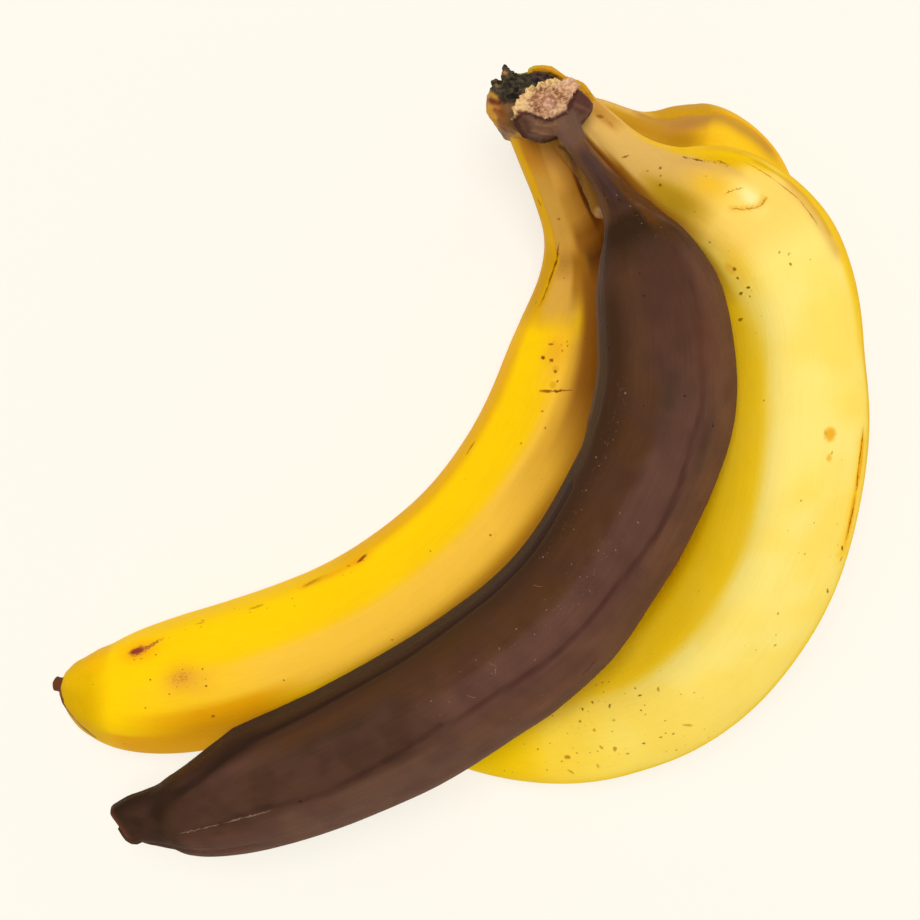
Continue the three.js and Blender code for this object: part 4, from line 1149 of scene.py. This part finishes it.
crown.strokes(
    ((146, 98, 26), (1, stub)),
    ((158, 108, 22), (0.8, stub, ("seam", [(27.9, 67.8), (30.8, 61.8), (32.2, 58.8)], 1.0))),
    # painted shadow in the gap along the stub's edge
    ((90, 52, 24), (0.9, stub, ("seam", [(25.6, 71.4), (26.4, 69.9), (27.6, 66.3), (28.8, 62.7), (30, 59.4),
     (31.4, 55.6)], 0.9))),
    ((225, 174, 70), (0.95, ("oval", 24.1, 74.4, 1.5, 1.0, -40, 0.6))),
    ((88, 50, 18), (0.85, ("seam", [(23.2, 73.4), (24.4, 72.6), (25.5, 71.4)], 0.45), stub)),
    ((220, 168, 118), (1, ("oval", 32.8, 57.9, 2.4, 1.3, -60, 0.6), slope(place, Z, 42, 2))),
    # painted shade on what lies below the stub's end
    ((110, 66, 26), (0.9, slope(place, Y, 58.2, -1.6), slope(place, Z, 44.8, -1.5))),
    ((150, 104, 30), (0.4, ease(0.5 + rough(place, 2.4, seed=4.0)), 1 - cut, 1 - rims)))
crown.finish()
print("share of the crown's skin that is cut:", round(float(cut.mean()), 3))

# %% [markdown]
# ## The finish of crown and flesh
# One recipe serves both lumps: the airbrushed tint, broken up by noise of two sizes, with a dry, faintly lumpy bump.
# Object coordinates are enough here because these pieces never bend. The cut keeps a faint wet gleam.
# %% Mix the lump finish
def in_millimetres(tree):
    return vector_calc(tree, "SCALE", add(tree, "ShaderNodeTexCoord").outputs["Object"], MM_PER_M)


def lump_finish(name, roughness=0.5, relief=0.12, grain_size=0.8, speckle=0.3, seed=0.0, gleam=0.1):
    skin = bpy.data.materials.new(name)
    t = fresh(skin)
    place = in_millimetres(t)
    cloudy = clouds(t, place, 0.5, 4.0, 0.6, seed)
    grain = clouds(t, place, 1 / grain_size, 4.0, 0.65, seed)
    tone = calc(t, "ADD", sway(t, cloudy, 0.5, speckle), sway(t, grain, 0.5, speckle * 1.6))
    gloss = calc(t, "MULTIPLY_ADD", grain, 0.3, roughness - 0.15)
    end_material(t, tinted(t, calc(t, "ADD", tone, 1.0)), gloss, gleam, calc(t, "MULTIPLY", grain, relief))
    print(name, "uses", len(t.nodes), "nodes")
    return skin


crown.mesh.materials.append(lump_finish("crown skin", relief=0.2, speckle=0.22, seed=1.0, gleam=0.12))

# %% [markdown]
# ## The torn bit of crown on the brown fruit
# When the brown fruit tore away, a lump of crown came with its neck. Its sides shrivelled with the fruit; its upper
# face is torn flesh, dry, crumbly and the colour of straw, with a ring where a bundle of fibres ran. The lump is made
# like the crown, then sliced by a tilted plane, and the torn face is roughened until no part of it is flat.
# %% Build the torn lump
TORN_BALLS = [(16.2, 79.2, 59.4, 4.4), (16.6, 77.2, 58, 3.8), (19.5, 77.5, 58, 4.8), (24.5, 79.5, 59.5, 4.6),
    (17, 82.5, 59.5, 3.8), (24, 83.5, 60, 3.6), (28, 81, 58.5, 2.8)]
ROOT_OF_NECK = [(22.2, 79.2, 60.6, 4.0), (24.4, 76, 62.2, 3.3), (26.2, 72.6, 63.8, 2.7), (26.8, 71.2, 64.2, 2.4)]
TORN_FACING = np.array(Vector((-0.15, 0.5, 0.85)).normalized())
TORN_THROUGH = np.array((20, 81, 63.4))
TORN_OUTLINE = [(12.3, 78.2), (12.4, 80.3), (13, 82), (15.2, 84.3), (16.4, 85.5), (18.6, 86), (20.2, 87.1),
    (21.6, 87.4), (22.7, 86.8), (25.1, 86.8), (27.3, 86.6), (27.1, 85.2), (25.6, 82.9), (24.8, 82), (24.5, 79.9),
    (21.6, 78.2), (19.5, 77.6), (17.5, 78.5), (16.3, 79.1), (14, 79.7)]
torn = Skin(fused("torn_lump", [TORN_BALLS, *chain(ROOT_OF_NECK)], voxel=0.26, smooth=3), (108, 78, 62))


def inside_outline(place, outline):
    """Distance in millimetres to a closed outline seen from above: positive inside, negative outside."""
    p = place[:, None, :2]
    a = np.array(outline)
    b = np.roll(a, -1, axis=0)
    edge = b - a
    t = np.clip(((p - a) * edge).sum(-1) / (edge**2).sum(-1), 0, 1)
    distance = np.linalg.norm(p - (a + t[..., None] * edge), axis=-1).min(1)
    spans = (a[:, Y] > p[..., Y]) != (b[:, Y] > p[..., Y])
    crossing = edge[:, X] * (p[..., Y] - a[:, Y]) / (edge[:, Y] + 1e-12) + a[:, X]
    crosses = (spans & (p[..., X] < crossing)).sum(1)
    return np.where(crosses % 2 == 1, distance, -distance)


print("points on the torn lump:", len(torn.place))

# %% Slice and roughen it
above = (torn.place - TORN_THROUGH) @ TORN_FACING
torn.place = torn.place - np.where(above > 0, above, 0)[:, None] * TORN_FACING
place = torn.place
broad, fine, tiny = rough(place, 3.5, seed=2.0), rough(place, 1.4, seed=6.0), rough(place, 0.7, seed=8.0)
border = inside_outline(place, TORN_OUTLINE) + 0.45 * fine
face = ease(border / 0.5 + 0.5) * ease((torn.normal @ TORN_FACING - 0.1) / 0.4)
side = 1 - face
ring = np.hypot(place[:, X] - 20.3, place[:, Y] - 81.3)
swirl = sum(height * hump(ring, r, width) for height, r, width in (
    (1, 2.1, 0.5), (0.6, 0.9, 0.35), (-0.7, 3.0, 0.5), (-0.5, 1.5, 0.3)))
tongue = torn.seam([(24.5, 84.5), (27, 86)], 2.4)
calm = 1 - 0.6 * tongue - 0.4 * slope(place, X, 15.5, -2)
lift = face * (0.5 * broad + calm * (0.45 * fine + 0.24 * tiny) + 0.5 * swirl + 0.25 + 0.6 * hump(border, 0.6, 0.7))
under = hump(border, -0.5, 0.4) * side
FOLDS = [[(16.2, 75.4), (18.6, 74.7), (21.6, 74.4)], [(17.4, 76.6), (19.6, 76.2), (21.8, 76.3)]]
folds = sum(torn.seam(f, 0.5) for f in FOLDS)
lift = lift + side * (0.2 * broad + 0.14 * fine - 0.1 + 0.3 * folds) - 0.4 * under
torn.press(-lift, 0.8)
print("torn face covers", round(float(face.mean()), 2), "of the lump")

# %% Airbrush the torn lump
torn.strokes(
    ((125, 88, 64), (1, side, ("oval", 19.5, 76.4, 5.6, 3.2, 0, 0.8))),
    # painted highlights along the raised folds
    ((142, 106, 82), (0.5, side, ease((folds - 0.4) / 0.5))),
    ((84, 54, 40), (0.8, side, ("seam", [(13.4, 78.6), (14.8, 77.2), (15.6, 75.8)], 1.2))),
    # painted shadow along the bottom, where the lump meets the neck below
    ((58, 29, 16), (1, side, ("seam", [(12.6, 78), (13.2, 75.4), (15.2, 73), (18, 72.2), (20.6, 72.6), (22.4, 73.4)],
     1.4), slope(place, Z, 63, -2))),
    ((90, 54, 44), (1, side, ("oval", 27.6, 82, 3.4, 3.6, 0, 0.4), slope(place, X, 23.5, 1.5))),
    ((124, 84, 68), (0.6, side, ("seam", [(26.4, 81), (29.6, 80)], 0.7))),
    ((104, 76, 58), (0.8, side, ("seam", [(24.6, 78), (25.4, 74), (26.8, 71)], 1.1))),
    # painted shade under the lip of the torn face
    ((64, 36, 30), (0.8, under, ease(torn.normal @ TORN_FACING / 0.3))),
    ((212, 166, 126), (1, face)),
    ((228, 186, 122), (1, face, slope(place, X, 16.8, -3.4))),
    ((232, 196, 118), (0.9, face, ("seam", [(15, 83.8), (16.6, 85.4), (19.6, 86.6), (22, 87.2)], 1.5))),
    ((218, 168, 132), (0.9, face, tongue)),
    ((202, 152, 126), (0.9, face, ("oval", 20.3, 81.3, 2.6, 2.6, 0, 0.6))))
PORE_RING = [(18.6, 78.6), (17.4, 80.2), (17.1, 82.2), (17.7, 84), (19.2, 84.8), (21.2, 84.6), (22.8, 83.6),
    (23.4, 82)]
torn.strokes(
    ((146, 92, 58), (0.9, face, ("seam", PORE_RING, 1.2), 0.35 + 0.65 * ease((0.25 - fine) / 0.4))),
    ((112, 66, 40), (0.8, face, ease((-0.1 - tiny) / 0.2), 0.3 + 0.7 * torn.seam(PORE_RING, 1.8))),
    ((156, 102, 74), (0.8, face, hump(ring, 1.6, 0.3))),
    # painted highlights on the small bumps of the torn face
    ((244, 214, 170), (0.4, face, ease((tiny - 0.15) / 0.3))),
    ((92, 50, 34), (0.9, ("seam", [(13.4, 79.4), (14.2, 79), (15, 79.2)], 0.5))),
    ("torn", (1, face, slope(place, X, 15, 3))))
torn.finish()
torn.mesh.materials.append(lump_finish(
    "torn flesh and brown skin", roughness=0.6, relief=0.15, grain_size=0.6, speckle=0.25, seed=2.0, gleam=0.04))

# %% [markdown]
# ## Fibres on the torn face
# A torn stalk bristles with short curled fibres. Modelling each by hand would be slow, so a geometry tree scatters
# points where the torn mask is high and stands one curled strand on each, with its own turn, lean and length. The seed
# is fixed, so every run gives the same tuft. The strands are made real and get their material at the end of the tree.
# %% The tree "torn fibres"
fibre_tree, given = open_tree("torn fibres", {
    "Per square millimetre": ("Float", 0.5), "Length": ("Float", 0.7), "Thickness": ("Float", 0.07),
    "Seed": ("Int", 3), "Straw": ("Material", None)})
t = fibre_tree
per_square_metre = calc(t, "MULTIPLY", given["Per square millimetre"], MM_PER_M**2)
density = calc(t, "MULTIPLY", calc(t, "POWER", number(t, "torn"), 4), per_square_metre)
spread = add(t, "GeometryNodeDistributePointsOnFaces", {"Mesh": given["Start"], "Density": density,
    "Seed": given["Seed"]})
bow = add(t, "GeometryNodeCurvePrimitiveBezierSegment", {
    "Resolution": 5, "Start": (0, 0, -0.15), "Start Handle": (0, 0, 0.35), "End Handle": (0.1, 0.05, 0.9),
    "End": (0.75, 0.2, 0.8)})
taper = remap(t, add(t, "GeometryNodeSplineParameter").outputs[0], 0.2, 1, 1, 0.35)
thin = add(t, "GeometryNodeSetCurveRadius", {0: bow.outputs[0], "Radius": taper})
profile = add(t, "GeometryNodeCurvePrimitiveCircle", {"Resolution": 4, "Radius": 1.0})
thickness = calc(t, "DIVIDE", given["Thickness"], given["Length"])
strand = add(t, "GeometryNodeCurveToMesh", {
    0: thin.outputs[0], 1: profile.outputs[0], "Scale": thickness, "Fill Caps": True})
most = (1.1, 1.1, 3.14)  # radians of lean, lean and spin
spin = add(t, "FunctionNodeRandomValue", {0: [-a for a in most], 1: most, "Seed": given["Seed"]},
           data_type="FLOAT_VECTOR")
lean = add(t, "FunctionNodeRotateRotation", {0: spread.outputs["Rotation"], 1: spin.outputs["Value"]},
           rotation_space="LOCAL")
length = add(t, "FunctionNodeRandomValue", {2: 0.35, 3: 1.0, "Seed": given["Seed"]}, data_type="FLOAT")
size = calc(t, "MULTIPLY", calc(t, "MULTIPLY", given["Length"], 1 / MM_PER_M), length.outputs[1])
tuft = add(t, "GeometryNodeInstanceOnPoints", {
    "Points": spread.outputs[0], "Instance": strand.outputs[0], "Rotation": lean.outputs[0], "Scale": size})
finish_tree(t, tuft.outputs[0], given["Straw"])

straw = bpy.data.materials.new("dry straw fibre")
t = fresh(straw)
patches = clouds(t, in_millimetres(t), 0.6, 2.0)
colour = blend(t, remap(t, patches, 0.35, 0.65), shade(232, 188, 132), shade(196, 142, 106))
end_material(t, colour, 0.7, 0.1)
fibres = grow("torn_fibres", torn.mesh.copy(), fibre_tree, {"Straw": straw})
print("fibres:", len(fibres.data.polygons), "faces")

# %% [markdown]
# ## Joining looks to the solids
# Every piece rides on the one body of the imported part and stands in for its solid, which stays hidden for collision.
# The dressed hand must not be larger than the solids.
# %% Hand over to the frame
PIECES = {"left_fruit": ("banana_left", "yellow_peel"), "right_fruit": ("banana_right", "pale_yellow_peel"),
    "back_fruit": ("banana_back", "yellow_peel"), "brown_fruit": ("banana_brown", "brown_peel"),
    "torn_lump": ("banana_brown", "brown_peel"), "torn_fibres": ("banana_brown", "brown_peel"),
    "crown_skin": ("crown", "crown_skin")}
for name, (node, slot) in PIECES.items():
    piece = bpy.data.objects[name]
    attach(piece, "root")
    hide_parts(node)
    print(name, "stands for", node)
